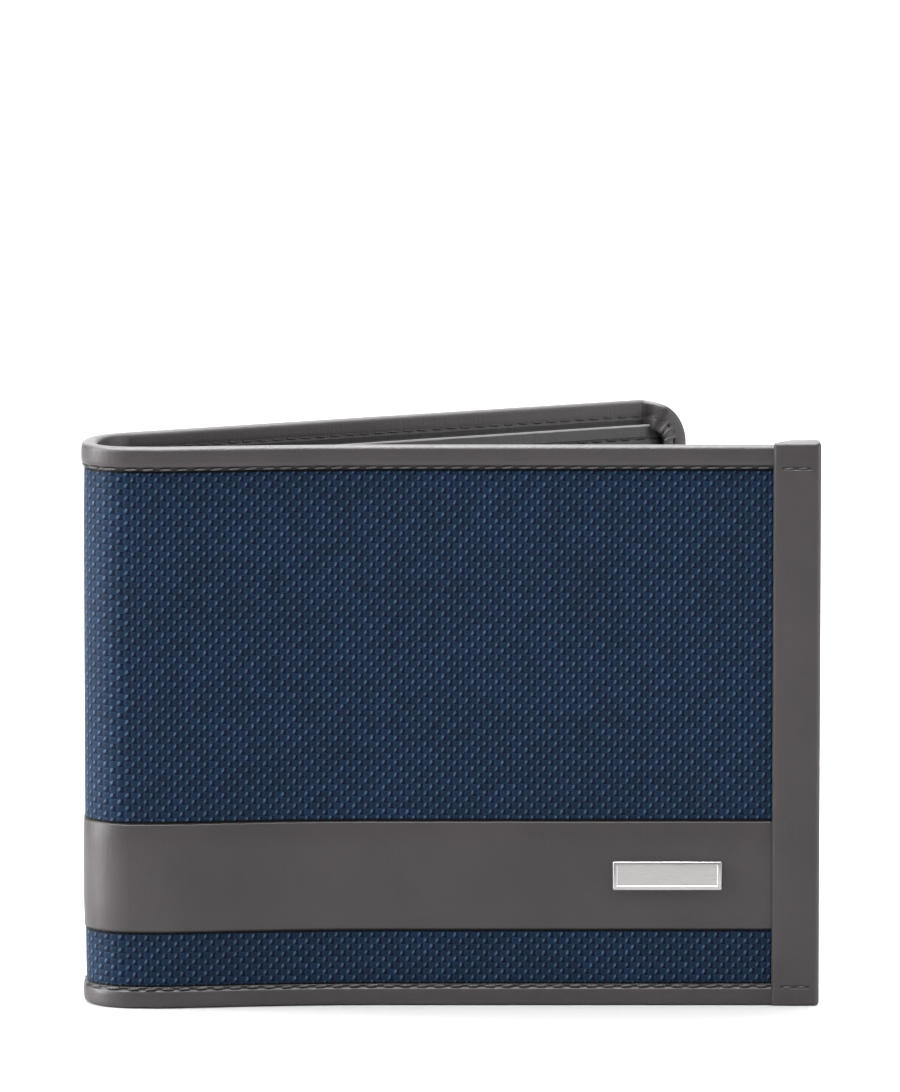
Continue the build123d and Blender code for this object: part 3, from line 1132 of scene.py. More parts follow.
@dataclass
class ShellSheets:
    """The sheets across both leaves and the spine, in four sections each."""

    shop: Workshop
    row: float = 4.0
    strip_end: float = 0.6
    back_tuck: float = 1.2
    corner_reach: float = 5.1
    divider_drop: float = 3.8
    seam_drop: float = 2.2
    band_bottom: float = 12.05
    band_top: float = 29.15
    band_thickness: float = 0.35
    band_tuck: float = 0.6
    puffs: tuple[tuple[Layer, float], ...] = ((Layer.NYLON, 0.20), (Layer.BAND, 0.12))
    cloths: tuple[Layer, ...] = (Layer.NYLON, Layer.LINING)

    def plan(self, layer: Layer) -> tuple[float, float, float, float, Material, str]:
        """Gives a sheet's depth, thickness, lowest and highest edge, finish and slot.

        Args:
            layer: Which sheet.

        Returns:
            The six values, in that order.
        """
        s, f, top = self.shop.sizes, self.shop.finishes, self.shop.skin.height
        nylon = s.leather + s.nylon / 2
        board = s.leather + s.nylon + s.board / 2
        lining = s.shell_back - s.lining / 2
        divider = s.divider_face + s.divider / 2
        band = s.leather - self.band_thickness / 2
        return {
            Layer.NYLON: (nylon, s.nylon, 0.7, top - 0.7, f.nylon, "ballistic_nylon"),
            Layer.BOARD: (board, s.board - 0.06, 1.0, top - 1.0, f.board, "stiffener_board"),
            Layer.LINING: (lining, s.lining - 0.04, 0.8, top - 0.8, f.lining, "lining_cloth"),
            Layer.DIVIDER: (
                divider,
                s.divider,
                0.8,
                top - self.divider_drop,
                f.divider,
                "leather_inside",
            ),
            Layer.BAND: (
                band,
                self.band_thickness,
                self.band_bottom,
                self.band_top,
                f.band,
                "leather_outside",
            ),
        }[layer]

    def build(self) -> None:
        """Builds every sheet; for those that are cloth it also works out their runs on each leaf,
        which nothing keeps.
        """
        for layer in Layer:
            pieces = [self.build_sheet(layer, section) for section in self.shop.sections]
            if layer in self.cloths:
                self.declare(layer, pieces)

    def stretch(self, layer: Layer, section: Section) -> Pair:
        """Gives where a sheet's stretch in one section starts and ends along the shell.

        Args:
            layer: Which sheet.
            section: Which part of the shell.

        Returns:
            The start and the end.
        """
        tuck = self.back_tuck
        if layer is Layer.BAND:
            tuck = self.shop.sizes.end_depth - self.band_tuck
        return max(section.start, self.strip_end), min(section.end, self.shop.skin.end - tuck)

    def declare(self, layer: Layer, pieces: list[Piece]) -> None:
        """Works out the points along a cloth sheet's stretch on each leaf; nothing is kept of them.

        Args:
            layer: Which sheet.
            pieces: Its pieces, from the front leaf to the back leaf.
        """
        depth, _, low, high, _, _ = self.plan(layer)
        for at, going in ((0, pieces[1:-1]), (-1, [])):
            section = self.shop.sections[at]
            stations = self.shop.bench.stations(*self.stretch(layer, section))
            points = [self.shop.skin.point(along, depth) for along in stations]

    def build_sheet(self, layer: Layer, section: Section) -> Piece:
        """Builds one sheet's stretch in one section.

        Args:
            layer: Which sheet.
            section: Which section.

        Returns:
            The sheet's piece.
        """
        bench = self.shop.bench
        depth, thickness, low, high, material, slot = self.plan(layer)
        start, end = self.stretch(layer, section)
        count = max(2, round((high - low) / self.row))
        puff = dict(self.puffs).get(layer, 0.0)
        outline = [
            (depth - puff * (1 - (2 * i / count - 1) ** 6), height)
            for i, height in enumerate(spaced(low, high, count))
        ]
        piece = bench.sweep(f"{layer.value}_{section.name}", outline, bench.stations(start, end))
        bench.leave_edit()
        if section.name == "back" and layer is not Layer.BAND:
            self.trim_corners(piece, layer)
        bench.thicken(piece, thickness)
        bench.round_edges(piece, thickness * 0.32, (section.start, section.end))
        nodes = tuple(f"{layer.value}_{node}" for node in section.nodes)
        return self.shop.place(piece, material, slot, (section, depth), nodes)

    def trim_corners(self, piece: Piece, layer: Layer) -> None:
        """Trims the corners that lie under the back leaf's rounded end leather.

        Args:
            piece: The sheet's stretch on the back leaf.
            layer: Which sheet.
        """
        corner, skin = self.shop.sizes.corner, self.shop.skin
        reach = self.corner_reach / math.sqrt(2)
        along = skin.end - corner + reach
        self.shop.bench.trim_corner(piece, along, corner - reach, -1.0)
        if layer is not Layer.DIVIDER:
            self.shop.bench.trim_corner(piece, along, skin.height - corner + reach, 1.0)


@dataclass
class EdgeBindings:
    """The folded leather strips along the top and the bottom of the shell."""

    shop: Workshop
    strip_end: float = 0.6
    shoulder: float = 0.55
    seam: float = 0.28
    sunk: float = 0.22
    inner_seam: float = 2.5
    inner_lip: float = 0.55

    def outline(self, width: float, depth: float) -> Outline:
        """Draws the folded strip's middle line as if it wrapped a top edge at height 0.

        The outer side rolls in to its seam, and the inner side has a shallow stitched valley.

        Args:
            width: How thick the bound edge is, leather included.
            depth: How far the strip reaches down the outer side.

        Returns:
            Depth and height points from the outer lip to the inner lip.
        """
        half = self.shop.sizes.leather / 2
        r = self.shoulder
        outer = [
            (half + 0.27, -depth),
            (half + 0.35, -depth + self.seam),
            (half + 0.33, -depth + 0.52),
            (half + 0.12, -depth + 0.74),
            (half - 0.02, -depth + 0.98),
            (half - 0.05, -depth + 1.5),
        ]
        over = arc((half + r, -half - r), r, 180.0, 90.0, 6)
        back = arc((width - half - r, -half - r), r, 90.0, 0.0, 6)
        seam = -self.inner_seam
        inner = [
            (width - half + 0.03, seam + 0.75),
            (width - half, seam + 0.38),
            (width - half - 0.13, seam),
            (width - half, seam - 0.38),
            (width - half + 0.01, -depth),
            (width - half - 0.05, -depth - self.inner_lip),
        ]
        return outer + over + back + inner

    def build(self) -> None:
        """Builds both bindings in every section."""
        s, top = self.shop.sizes, self.shop.skin.height
        shell_width = s.shell_back + s.leather
        foot_width = s.divider_face + s.divider + s.leather
        for section in self.shop.sections:
            over = [(d, top + h) for d, h in self.outline(shell_width, s.top_depth)]
            self.build_strip("top_binding", section, over, shell_width)
            under = [(d, -h) for d, h in self.outline(foot_width, s.bottom_depth)]
            self.build_strip("bottom_binding", section, under, foot_width)

    def build_strip(self, name: str, section: Section, outline: Outline, width: float) -> None:
        """Builds one binding's stretch in one section.

        Args:
            name: The binding's CAD name.
            section: Which section.
            outline: Its middle line.
            width: How thick the bound edge is.
        """
        bench, skin = self.shop.bench, self.shop.skin
        start = max(section.start, self.strip_end)
        end = min(section.end, skin.end - self.shop.sizes.corner)
        piece = bench.sweep(f"{name}_{section.name}", outline, bench.stations(start, end))
        bench.leave_edit()
        bench.thicken(piece, self.shop.sizes.leather)
        bench.round_edges(piece, 0.13, (start, end))
        nodes = tuple(f"{name}_{node}" for node in section.nodes)
        leather = self.shop.finishes.leather
        self.shop.place(piece, leather, "leather_outside", (section, width / 2), nodes)


@dataclass
class EndStrip:
    """The square leather strip folded round the front leaf's free end."""

    shop: Workshop
    face_width: float = 7.4
    inner_width: float = 4.1
    shoulder: float = 0.7
    rise: float = 0.5
    rows: int = 16

    def build(self) -> None:
        """Builds the strip with its two closed ends."""
        bench, s = self.shop.bench, self.shop.sizes
        half = s.leather / 2
        outside, inside = -s.strip_proud + half, s.slip_back + half
        r = self.shoulder
        outline = [(self.face_width, outside + 0.22), (self.face_width - 0.5, outside + 0.06)]
        outline += [(self.face_width - 1.1, outside), (self.face_width / 2, outside - 0.04)]
        outline += arc((half + r, outside + r), r, 270.0, 180.0, 5)
        outline += arc((half + r, inside - r), r, 180.0, 90.0, 5)
        outline += [(self.inner_width, inside)]
        top = self.shop.skin.height + self.rise - half
        rows = spaced(half, top, self.rows)
        piece = bench.sweep("end_strip", outline, rows, axis=2)
        bpy.ops.mesh.edge_face_add()
        self.select_row(piece, half)
        bpy.ops.mesh.edge_face_add()
        bench.leave_edit()
        bench.round_edges(piece, 0.35, segments=3, sharp=60.0)
        bench.thicken(piece, s.leather)
        bench.round_edges(piece, 0.14, sharp=60.0)
        finish = self.shop.finishes.strip
        self.shop.place(piece, finish, "leather_outside", "front_leaf", ("end_strip_front",))

    @staticmethod
    def select_row(piece: Piece, height: float) -> None:
        """Selects the row of vertices at one height.

        Args:
            piece: The piece, in edit mode.
            height: The row's height.
        """
        bpy.ops.mesh.select_all(action="DESELECT")
        mesh = bmesh.from_edit_mesh(piece.data)
        for vertex in mesh.verts:
            vertex.select_set(abs(vertex.co.z - height * MM) < 0.01 * MM)
        mesh.select_flush(True)
        bmesh.update_edit_mesh(piece.data)


@dataclass
class EndBinding:
    """The leather round the back leaf's free end, pleated inside its two rounded corners."""

    shop: Workshop
    steps: int = 18
    taper: float = 32.0
    pleats: tuple[float, ...] = (20.0, 40.0, 55.0, 75.0)
    pleat_rise: float = 0.36
    pleat_start: float = 2.2
    lap: float = 0.25
    rows: int = 14

    def build(self) -> None:
        """Spins and extrudes the folded strip's outline round the leaf's end."""
        bench, s, skin = self.shop.bench, self.shop.sizes, self.shop.skin
        folded = EdgeBindings(self.shop).outline(s.edge_back, s.end_depth)
        outline = [(d, skin.height + h) for d, h in folded]
        start = skin.end - s.corner
        piece = bench.sweep("end_binding", outline, [start - self.lap, start])
        upper = Vector((start, 0.0, skin.height - s.corner)) * MM
        lower = Vector((start, 0.0, s.corner)) * MM
        self.spin(upper)
        bench.extrude((0.0, 0.0, 2 * s.corner - skin.height), self.rows)
        self.spin(lower)
        bench.extrude((-self.lap, 0.0, 0.0))
        shell = s.shell_back + s.leather
        foot = s.divider_face + s.divider + s.leather
        for centre, rise, width in ((upper, 1.0, shell), (lower, -1.0, foot)):
            self.thin(piece, centre, rise, s.edge_back - width)
            self.pleat(piece, centre, rise)
        bench.leave_edit()
        bench.thicken(piece, s.leather)
        bench.round_edges(piece, 0.12, (start - self.lap,))
        finish = self.shop.finishes.end
        self.shop.place(piece, finish, "leather_outside", "back_leaf", ("end_binding_back",))

    def spin(self, centre: Vector) -> None:
        """Spins the selected row a quarter turn round a corner's centre."""
        bpy.ops.mesh.spin(
            steps=self.steps, angle=-math.pi / 2, center=centre, axis=(0.0, 1.0, 0.0)
        )

    def select_inner(
        self,
        piece: Piece,
        centre: Vector,
        rise: float,
        angles: Pair,
        reach: Pair,
    ) -> None:
        """Selects the vertices of the inner side in a wedge of one corner.

        Args:
            piece: The binding, in edit mode.
            centre: The corner's centre on the bench.
            rise: 1 for the top corner and -1 for the bottom one.
            angles: The wedge, in degrees from the vertical.
            reach: The least depth, and the furthest distance from the centre.
        """
        bpy.ops.mesh.select_all(action="DESELECT")
        mesh = bmesh.from_edit_mesh(piece.data)
        for vertex in mesh.verts:
            across = (vertex.co.x - centre.x) / MM
            up = (vertex.co.z - centre.z) / MM * rise
            angle = math.degrees(math.atan2(across, up))
            inner = -vertex.co.y / MM > reach[0] and math.hypot(across, up) < reach[1]
            vertex.select_set(inner and up > 0.0 and angles[0] < angle < angles[1])
        bmesh.update_edit_mesh(piece.data)

    def thin(
        self, piece: Piece, centre: Vector, rise: float, excess: float
    ) -> None:
        """Thins the corner towards the binding that it carries on from.

        Args:
            piece: The binding, in edit mode.
            centre: The corner's centre on the bench.
            rise: 1 for the top corner and -1 for the bottom one.
            excess: How much thicker the end is than that binding.
        """
        s = self.shop.sizes
        pitch = 90.0 / self.steps
        deep = s.edge_back - 1.1
        for i in range(-1, int(self.taper / pitch)):
            share = 1.0 if i < 0 else math.cos(math.pi / 2 * i * pitch / self.taper) ** 2
            low = -20.0 if i < 0 else (i - 0.5) * pitch
            high = -0.5 * pitch if i < 0 else (i + 0.5) * pitch
            self.select_inner(piece, centre, rise, (low, high), (deep, 9.0))
            shift = (0.0, excess * share * MM, 0.0)
            bpy.ops.transform.translate(value=shift)

    def pleat(self, piece: Piece, centre: Vector, rise: float) -> None:
        """Gathers the inner side of one corner into small radial pleats.

        Args:
            piece: The binding, in edit mode.
            centre: The corner's centre on the bench.
            rise: 1 for the top corner and -1 for the bottom one.
        """
        s = self.shop.sizes
        reach = (s.shell_back, s.corner - self.pleat_start)
        for angle in self.pleats:
            self.select_inner(piece, centre, rise, (angle - 3.0, angle + 3.0), reach)
            bpy.ops.transform.translate(value=(0.0, -self.pleat_rise * MM, 0.0))


@dataclass
class CardPockets:
    """The slip panel and the stepped card pockets on one leaf."""

    shop: Workshop
    leaf: str
    count: int = 4
    step: float = 11.0
    first_drop: float = 4.5
    slip_drop: float = 7.9
    near: float = 4.6
    clear_of_crease: float = 5.5
    overhang: float = 1.5
    foot_gap: float = 0.4
    hem: float = 2.0
    inset: float = 0.3
    row: float = 5.0
    panel_rows: int = 24
    hem_rows: int = 8

    @property
    def slip_top(self) -> float:
        """Height of the slip panel's top edge."""
        return self.shop.skin.height - self.slip_drop

    @property
    def far(self) -> float:
        """How far the pockets reach from the leaf's free end."""
        skin = self.shop.skin
        return min(skin.front_crease, skin.end - skin.back_run) - self.clear_of_crease

    def mouth(self, n: int) -> float:
        """Height of card pocket n's mouth, counted from the top."""
        return self.slip_top - self.first_drop - (n - 1) * self.step

    def span(self, near: float, far: float) -> Pair:
        """Turns a stretch from the leaf's own free end into one along the skin."""
        end = self.shop.skin.end
        return (near, far) if self.leaf == "front" else (end - far, end - near)

    def build(self) -> None:
        """Builds the slip panel and its pockets."""
        s = self.shop.sizes
        foot = s.bottom_depth + self.foot_gap
        near = 1.2
        self.build_panel(
            f"slip_panel_{self.leaf}",
            (near, self.far + self.overhang),
            s.slip_face + s.slip / 2,
            s.slip,
            (foot, self.slip_top),
        )
        pitch = s.pocket_gap + s.pocket
        for n in range(1, self.count + 1):
            depth = s.slip_back + n * pitch - s.pocket / 2
            self.build_panel(
                f"card_pocket_{self.leaf}_{n}",
                (self.near, self.far),
                depth,
                s.pocket,
                (foot, self.mouth(n)),
            )
        self.build_hems(foot)

    def build_hems(self, foot: float) -> None:
        """Builds the sewn hems between the pockets and the panels behind them.

        Args:
            foot: The height of the pockets' lower edge.
        """
        s, bench = self.shop.sizes, self.shop.bench
        pitch = s.pocket_gap + s.pocket
        bars = []
        for n in range(1, self.count + 1):
            depth = s.slip_back + (n - 1) * pitch + s.pocket_gap / 2
            near, far = self.near + self.inset, self.far - self.inset
            side = (foot + self.hem, self.mouth(n) - self.inset)
            for reach, heights in (
                ((near, self.near + self.hem), side),
                ((self.far - self.hem, far), side),
                ((near, far), (foot + self.inset, foot + self.hem)),
            ):
                rows = spaced(*self.span(*reach), self.hem_rows)
                outline = [(depth, height) for height in heights]
                bar = bench.sweep(f"hem_{self.leaf}", outline, rows)
                bench.leave_edit()
                bench.thicken(bar, s.pocket_gap)
                bars.append(bar)
        bench.activate(bars[0])
        for bar in bars:
            bar.select_set(True)
        bpy.ops.object.join()
        piece = bars[0]
        piece.name = piece.data.name = f"pocket_hems_{self.leaf}"
        bench.round_edges(piece, 0.08)
        self.put_on(piece, f"pocket_seams_{self.leaf}")

    def put_on(self, piece: Piece, node: str) -> None:
        """Puts a leather piece on the leaf, in place of a CAD node."""
        finish = self.shop.finishes.inner
        self.shop.place(piece, finish, "leather_inside", f"{self.leaf}_leaf", (node,))

    def build_panel(
        self,
        node: str,
        reach: Pair,
        depth: float,
        thickness: float,
        heights: Pair,
    ) -> None:
        """Builds one flat leather panel.

        Args:
            node: The CAD node that it stands for.
            reach: Where it starts and ends, from the leaf's free end.
            depth: The depth at the middle of its thickness.
            thickness: Its thickness.
            heights: Its lowest and highest edge.
        """
        bench, skin = self.shop.bench, self.shop.skin
        low, high = heights
        rows = spaced(*self.span(*reach), self.panel_rows)
        count = max(2, round((high - low) / self.row))
        outline = [(depth, height) for height in spaced(low, high, count)]
        piece = bench.sweep(f"{node}_leather", outline, rows)
        bench.leave_edit()
        if self.leaf == "back" and reach[0] < self.near:
            corner = self.shop.sizes.corner
            reach_in = ShellSheets.corner_reach / math.sqrt(2)
            bench.trim_corner(piece, skin.end - corner + reach_in, corner - reach_in, -1.0)
        bench.thicken(piece, thickness)
        bench.round_edges(piece, thickness * 0.4, segments=3)
        self.put_on(piece, node)


@dataclass
class MetalPlate:
    """The plain metal plate on the band."""

    shop: Workshop
    width: float = 17.0
    height: float = 4.5
    thickness: float = 0.9
    from_end: float = 23.75
    band_middle: float = 20.6
    band_face: float = 0.15
    edge: float = 0.22
    border: float = 0.42
    recess: float = 0.07

    def build(self) -> None:
        """Shapes the plate from a block: rounded edges, then a shallow brushed field."""
        middle = self.band_face - self.thickness / 2
        bpy.ops.object.select_all(action="DESELECT")
        bpy.ops.mesh.primitive_cube_add(size=MM)
        piece = bpy.context.active_object
        piece.name = piece.data.name = "plate"
        bpy.ops.object.mode_set(mode="EDIT")
        bpy.ops.transform.resize(value=(self.width, self.thickness, self.height))
        bpy.ops.transform.translate(
            value=(self.from_end * MM, -middle * MM, self.band_middle * MM)
        )
        bpy.ops.mesh.bevel(offset=self.edge * MM, segments=3, affect="EDGES")
        self.select_face(piece)
        bpy.ops.mesh.inset(thickness=self.border * MM, depth=0.0)
        bpy.ops.mesh.inset(thickness=0.08 * MM, depth=-self.recess * MM)
        bpy.ops.object.mode_set(mode="OBJECT")
        finish = self.shop.finishes.metal
        self.shop.place(piece, finish, "brushed_metal", "front_leaf", ("metal_plate",), 30.0)

    @staticmethod
    def select_face(piece: Piece) -> None:
        """Selects the largest face that looks outwards.

        Args:
            piece: The piece, in edit mode.
        """
        bpy.ops.mesh.select_mode(type="FACE")
        bpy.ops.mesh.select_all(action="DESELECT")
        mesh = bmesh.from_edit_mesh(piece.data)
        outward = [face for face in mesh.faces if face.normal.y > 0.99]
        max(outward, key=lambda face: face.calc_area()).select_set(True)
        bmesh.update_edit_mesh(piece.data)


@dataclass(frozen=True)
class Stitch:
    """Where one stitch lies on the bench."""

    along: float
    depth: float
    height: float
    turn: float = 0.0


@dataclass
class Stitching:
    """The sewn rows that show."""

    shop: Workshop
    pitch: float = 2.65
    length: float = 1.85
    radius: float = 0.18
    slant: float = -4.0
    proud: float = 0.02
    seed: int = 7
    inner_rows: tuple[str, ...] = ("top_inner", "end_inner", "divider")
    template: Piece = field(init=False)

    def __post_init__(self) -> None:
        """Models the one stitch that every row is copied from."""
        bpy.ops.object.select_all(action="DESELECT")
        bpy.ops.mesh.primitive_uv_sphere_add(segments=6, ring_count=6, radius=MM)
        self.template = bpy.context.active_object
        self.template.name = "stitch_template"
        bpy.ops.object.mode_set(mode="EDIT")
        bpy.ops.transform.rotate(
            value=math.pi / 2, orient_axis="Y", center_override=(0.0, 0.0, 0.0)
        )
        bpy.ops.transform.resize(value=(self.length / 2, self.radius, self.radius))
        bpy.ops.object.mode_set(mode="OBJECT")
        self.chance = random.Random(self.seed)

    def along_row(self, start: float, end: float) -> list[float]:
        """Spaces the middles of a row's stitches.

        Args:
            start: Where the row starts.
            end: Where it ends.

        Returns:
            The middles along the row.
        """
        count = max(2, round((end - start) / self.pitch))
        step = (end - start) / count
        return [start + step * (i + 0.5) for i in range(count)]

    def lay_row(
        self, name: str, part: str, rides: str | tuple[Section, float], stitches: list[Stitch]
    ) -> None:
        """Copies the stitch to each place, joins the copies and puts them on the wallet.

        Args:
            name: The row's name.
            part: The name of this part of the row.
            rides: Its body, or its section and depth.
            stitches: Where the stitches lie.
        """
        bpy.ops.object.select_all(action="DESELECT")
        for stitch in stitches:
            copy = self.template.copy()
            copy.data = self.template.data.copy()
            bpy.context.collection.objects.link(copy)
            tilt = stitch.turn - math.radians(self.chance.gauss(self.slant, 1.5))
            shift = Vector((stitch.along, -stitch.depth, stitch.height))
            shift.x += self.chance.uniform(-0.06, 0.06)
            shift.z += self.chance.uniform(-0.03, 0.03)
            copy.data.transform(Matrix.Translation(shift * MM) @ Matrix.Rotation(tilt, 4, "Y"))
            copy.select_set(True)
            bpy.context.view_layer.objects.active = copy
        bpy.ops.object.join()
        piece = bpy.context.active_object
        piece.name = piece.data.name = f"stitches_{part}"
        finishes = self.shop.finishes
        # Inner rows take the darker thread: partly painted shade inside the wallet.
        thread = finishes.shaded_back_thread if name in self.inner_rows else finishes.thread
        self.shop.place(piece, thread, "leather_outside", rides, smooth=80.0)

    def sew_across(self, name: str, depth: float, height: float, ends: Pair) -> None:
        """Sews a level row round the spine, in one piece for each section.

        Args:
            name: The row's name.
            depth: The depth of the thread's middle.
            height: The row's height.
            ends: Where the row starts and ends along the skin.
        """
        places = self.along_row(*ends)
        for section in self.shop.sections:
            inside = [u for u in places if section.start <= u < section.end]
            if inside:
                stitches = [Stitch(u, depth, height) for u in inside]
                self.lay_row(name, f"{name}_{section.name}", (section, depth), stitches)

    def sew_leaf(self, name: str, body: str, stitches: list[Stitch]) -> None:
        """Sews a row that stays on one leaf."""
        self.lay_row(name, name, body, stitches)

    def build(self, pockets: list[CardPockets], edges: EdgeBindings, strip: EndStrip) -> None:
        """Sews every row.

        Args:
            pockets: Both leaves' card pockets.
            edges: The top and bottom bindings.
            strip: The front leaf's end strip.
        """
        s, skin = self.shop.sizes, self.shop.skin
        ends = (strip.face_width + 0.2, skin.end - s.corner)
        inner_ends = (strip.inner_width + 0.2, skin.end - s.corner)
        top = skin.height - s.top_depth + edges.seam
        low = s.bottom_depth - edges.seam
        shell = s.shell_back + s.leather
        foot = s.divider_face + s.divider + s.leather
        self.sew_across("top_outer", edges.sunk, top, ends)
        self.sew_across("top_inner", shell - self.proud, skin.height - edges.inner_seam, inner_ends)
        self.sew_across("bottom_outer", edges.sunk, low, ends)
        self.sew_across("bottom_inner", foot - self.proud, edges.inner_seam, inner_ends)
        divider_seam = skin.height - ShellSheets.divider_drop - ShellSheets.seam_drop
        divider_back = s.divider_face + s.divider
        self.sew_across("divider", divider_back + self.proud, divider_seam, inner_ends)
        outer_inset = s.end_depth - edges.seam
        self.sew_leaf("end_outer", "back_leaf", self.round_end(edges.sunk, outer_inset))
        inner_row = self.round_end(s.edge_back - self.proud, edges.inner_seam)
        self.sew_leaf("end_inner", "back_leaf", inner_row)
        for leaf in pockets:
            self.sew_pockets(leaf)
        self.sew_tacks()
        bpy.data.objects.remove(self.template)

    def round_end(self, depth: float, inset: float) -> list[Stitch]:
        """Places the stitches round the back leaf's end.

        Args:
            depth: The depth of the thread's middle.
            inset: How far the row lies in from the leaf's edge.

        Returns:
            The stitches.
        """
        s, skin = self.shop.sizes, self.shop.skin
        radius = s.corner - inset
        run = skin.height - 2 * s.corner
        bend = radius * math.pi / 2
        total = run + 2 * bend
        stitches = []
        for at in self.along_row(0.0, total):
            if bend <= at < bend + run:
                height = s.corner + at - bend
                stitches.append(Stitch(skin.end - inset, depth, height, math.pi / 2))
                continue
            lower = at < bend
            turn = (at if lower else total - at) / radius
            x = skin.end - s.corner + radius * math.sin(turn)
            rise = radius * math.cos(turn)
            z = s.corner - rise if lower else skin.height - s.corner + rise
            stitches.append(Stitch(x, depth, z, -turn if lower else turn))
        return stitches

    def sew_pockets(self, leaf: CardPockets) -> None:
        """Sews the sides and the foot of a leaf's card pockets.

        Args:
            leaf: The leaf's pockets.
        """
        s = self.shop.sizes
        pitch = s.pocket_gap + s.pocket
        foot = s.bottom_depth + leaf.foot_gap
        stitches = []
        for n in range(1, leaf.count + 1):
            depth = s.slip_back + n * pitch + self.proud
            top = leaf.mouth(n) - 0.8
            bottom = leaf.mouth(n + 1) + 0.6 if n < leaf.count else foot + 1.2
            for side in (leaf.near + 1.0, leaf.far - 1.0):
                along = leaf.span(side, side)[0]
                for height in self.along_row(bottom, top):
                    stitches.append(Stitch(along, depth, height, math.pi / 2))
        last = s.slip_back + leaf.count * pitch + self.proud
        for along in self.along_row(*leaf.span(leaf.near + 2.2, leaf.far - 2.2)):
            stitches.append(Stitch(along, last, foot + 1.0))
        self.sew_leaf(f"pockets_{leaf.leaf}", f"{leaf.leaf}_leaf", stitches)

    def sew_tacks(self) -> None:
        """Sews the short rows across the end strip, in line with the two long seams."""
        s = self.shop.sizes
        stitches = [
            Stitch(2.9 + 2.05 * i, -s.strip_proud + 0.08, height)
            for height in tack_heights(s, self.shop.skin)
            for i in range(2)
        ]
        self.sew_leaf("end_strip", "front_leaf", stitches)


def seam_heights(sizes: ShellSizes, skin: SkinLine) -> tuple[float, ...]:
    """Heights of the two long seams on the outside."""
    return skin.height - sizes.top_depth + 0.30, sizes.bottom_depth - 0.30


def tack_heights(sizes: ShellSizes, skin: SkinLine) -> tuple[float, ...]:
    """Heights of the two short seams across the end strip."""
    return skin.height - sizes.top_depth + 0.2, sizes.bottom_depth - 0.4


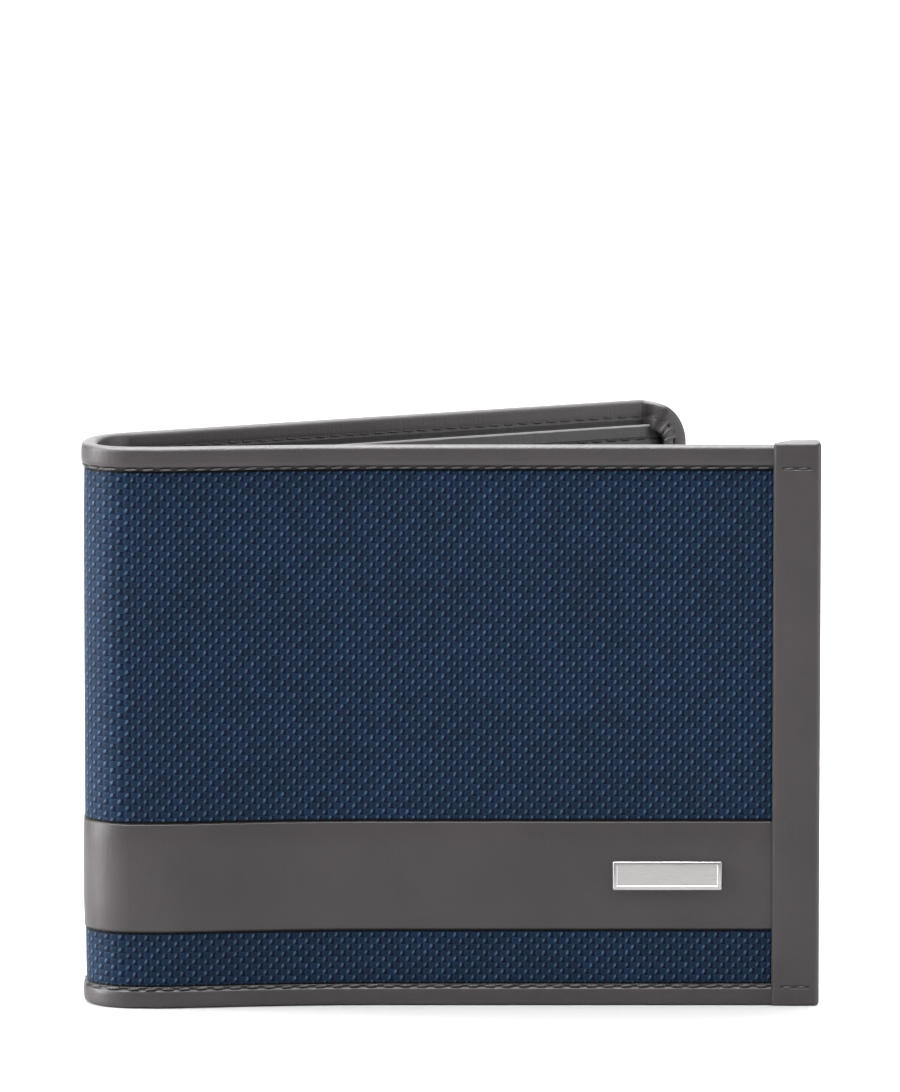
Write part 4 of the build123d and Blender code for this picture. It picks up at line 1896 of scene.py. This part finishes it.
@dataclass
class Studio:
    """The pale floor, the soft lights and the camera."""

    distance: float = 1400.0
    eye_height: float = 248.3
    side: float = -0.11
    pitch: float = 7.163
    lens: float = 299.7

    def build(self, skin: SkinLine) -> None:
        """Sets the floor, lights, world and camera.

        Args:
            skin: The shell's outer line.
        """
        self.lay_floor()
        self.light("overhead", (0.0, 1.2, 2.5), (0.0, 1.2, 0.0), 6.0, 212.0)
        self.light("backdrop", (0.0, 3.4, 0.9), (0.0, 0.0, 0.3), 3.0, 70.0)
        self.light("key", (-1.6, -0.10, 0.55), (0.0, 0.0, 0.04), 0.9, 54.0)
        self.light("side", (1.4, -0.20, 0.35), (0.0, 0.0, 0.04), 0.6, 9.0)
        gloss = self.light("edge_gloss", (-0.2, 0.05, 0.9), (-0.2, 0.05, 0.0), 0.9, 50.0)
        gloss.visible_diffuse = False
        world = bpy.data.worlds.new("studio")
        bpy.context.scene.world = world
        world.use_nodes = True
        sky = world.node_tree.nodes["Background"]
        sky.inputs["Color"].default_value = (1.0, 1.0, 1.0, 1.0)
        sky.inputs["Strength"].default_value = 0.22
        lens = bpy.data.cameras.new("camera")
        lens.lens = self.lens
        lens.clip_end = 20.0
        camera = bpy.data.objects.new("camera", lens)
        bpy.context.collection.objects.link(camera)
        away = skin.face_y - self.distance
        camera.location = Vector((self.side, away, self.eye_height)) * MM
        camera.rotation_euler = (math.radians(90.0 - self.pitch), 0.0, 0.0)
        bpy.context.scene.camera = camera
        bpy.context.scene.view_settings.view_transform = "Standard"

    @staticmethod
    def lay_floor() -> None:
        """Lays the pale table top."""
        bpy.ops.object.select_all(action="DESELECT")
        bpy.ops.mesh.primitive_plane_add(size=16.0)
        floor = bpy.context.active_object
        floor.name = "floor"
        g = Graph("pale_floor", 1.0, laid_flat=False)
        tone = g.mix(g.noise(3.0, 2.0), (0.90, 0.90, 0.90), (0.92, 0.92, 0.92))
        floor.data.materials.append(
            g.shade(Base_Color=tone, Roughness=0.35, Specular_IOR_Level=0.35)
        )
        floor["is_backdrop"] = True

    @staticmethod
    def light(
        name: str,
        place: Triple,
        aim: Triple,
        size: float,
        power: float,
    ) -> Piece:
        """Hangs a square softbox.

        Args:
            name: Its name.
            place: Where it hangs, in metres.
            aim: What it faces.
            size: Its side.
            power: Its power in watts.

        Returns:
            The softbox.
        """
        lamp = bpy.data.lights.new(name, "AREA")
        lamp.size = size
        lamp.energy = power
        holder = bpy.data.objects.new(name, lamp)
        bpy.context.collection.objects.link(holder)
        holder.location = place
        facing = Vector(aim) - Vector(place)
        holder.rotation_euler = facing.to_track_quat("-Z", "Y").to_euler()
        return holder


def dress_hidden_nodes(finishes: Finishes) -> None:
    """Gives the CAD nodes that stay their finishes.

    Args:
        finishes: The wallet's finishes.
    """
    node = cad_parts["plate_clip"]
    node.data.materials.clear()
    node.data.materials.append(finishes.clip)


def main() -> None:
    """Builds the wallet from its parts and sets the studio."""
    logging.basicConfig(level=logging.INFO, format="%(name)s %(message)s")
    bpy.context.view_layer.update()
    sizes = ShellSizes()
    skin = SkinLine(sizes)
    sections = make_sections(skin)
    band = (ShellSheets.band_bottom, ShellSheets.band_top)
    divider_top = skin.height - ShellSheets.divider_drop
    tacks = tack_heights(sizes, skin)
    finishes = Finishes(seam_heights(sizes, skin), band, tacks, divider_top)
    shop = Workshop(sizes, skin, sections, Bench(skin), finishes)
    Studio().build(skin)
    ShellSheets(shop).build()
    edges = EdgeBindings(shop)
    edges.build()
    strip = EndStrip(shop)
    strip.build()
    EndBinding(shop).build()
    pockets = [CardPockets(shop, "front"), CardPockets(shop, "back")]
    for leaf in pockets:
        leaf.build()
    MetalPlate(shop).build()
    Stitching(shop).build(pockets, edges, strip)
    dress_hidden_nodes(finishes)
    for helper in (skin.path, shop.bench.cage):
        bpy.data.objects.remove(helper)


if __name__ == "__main__":
    main()
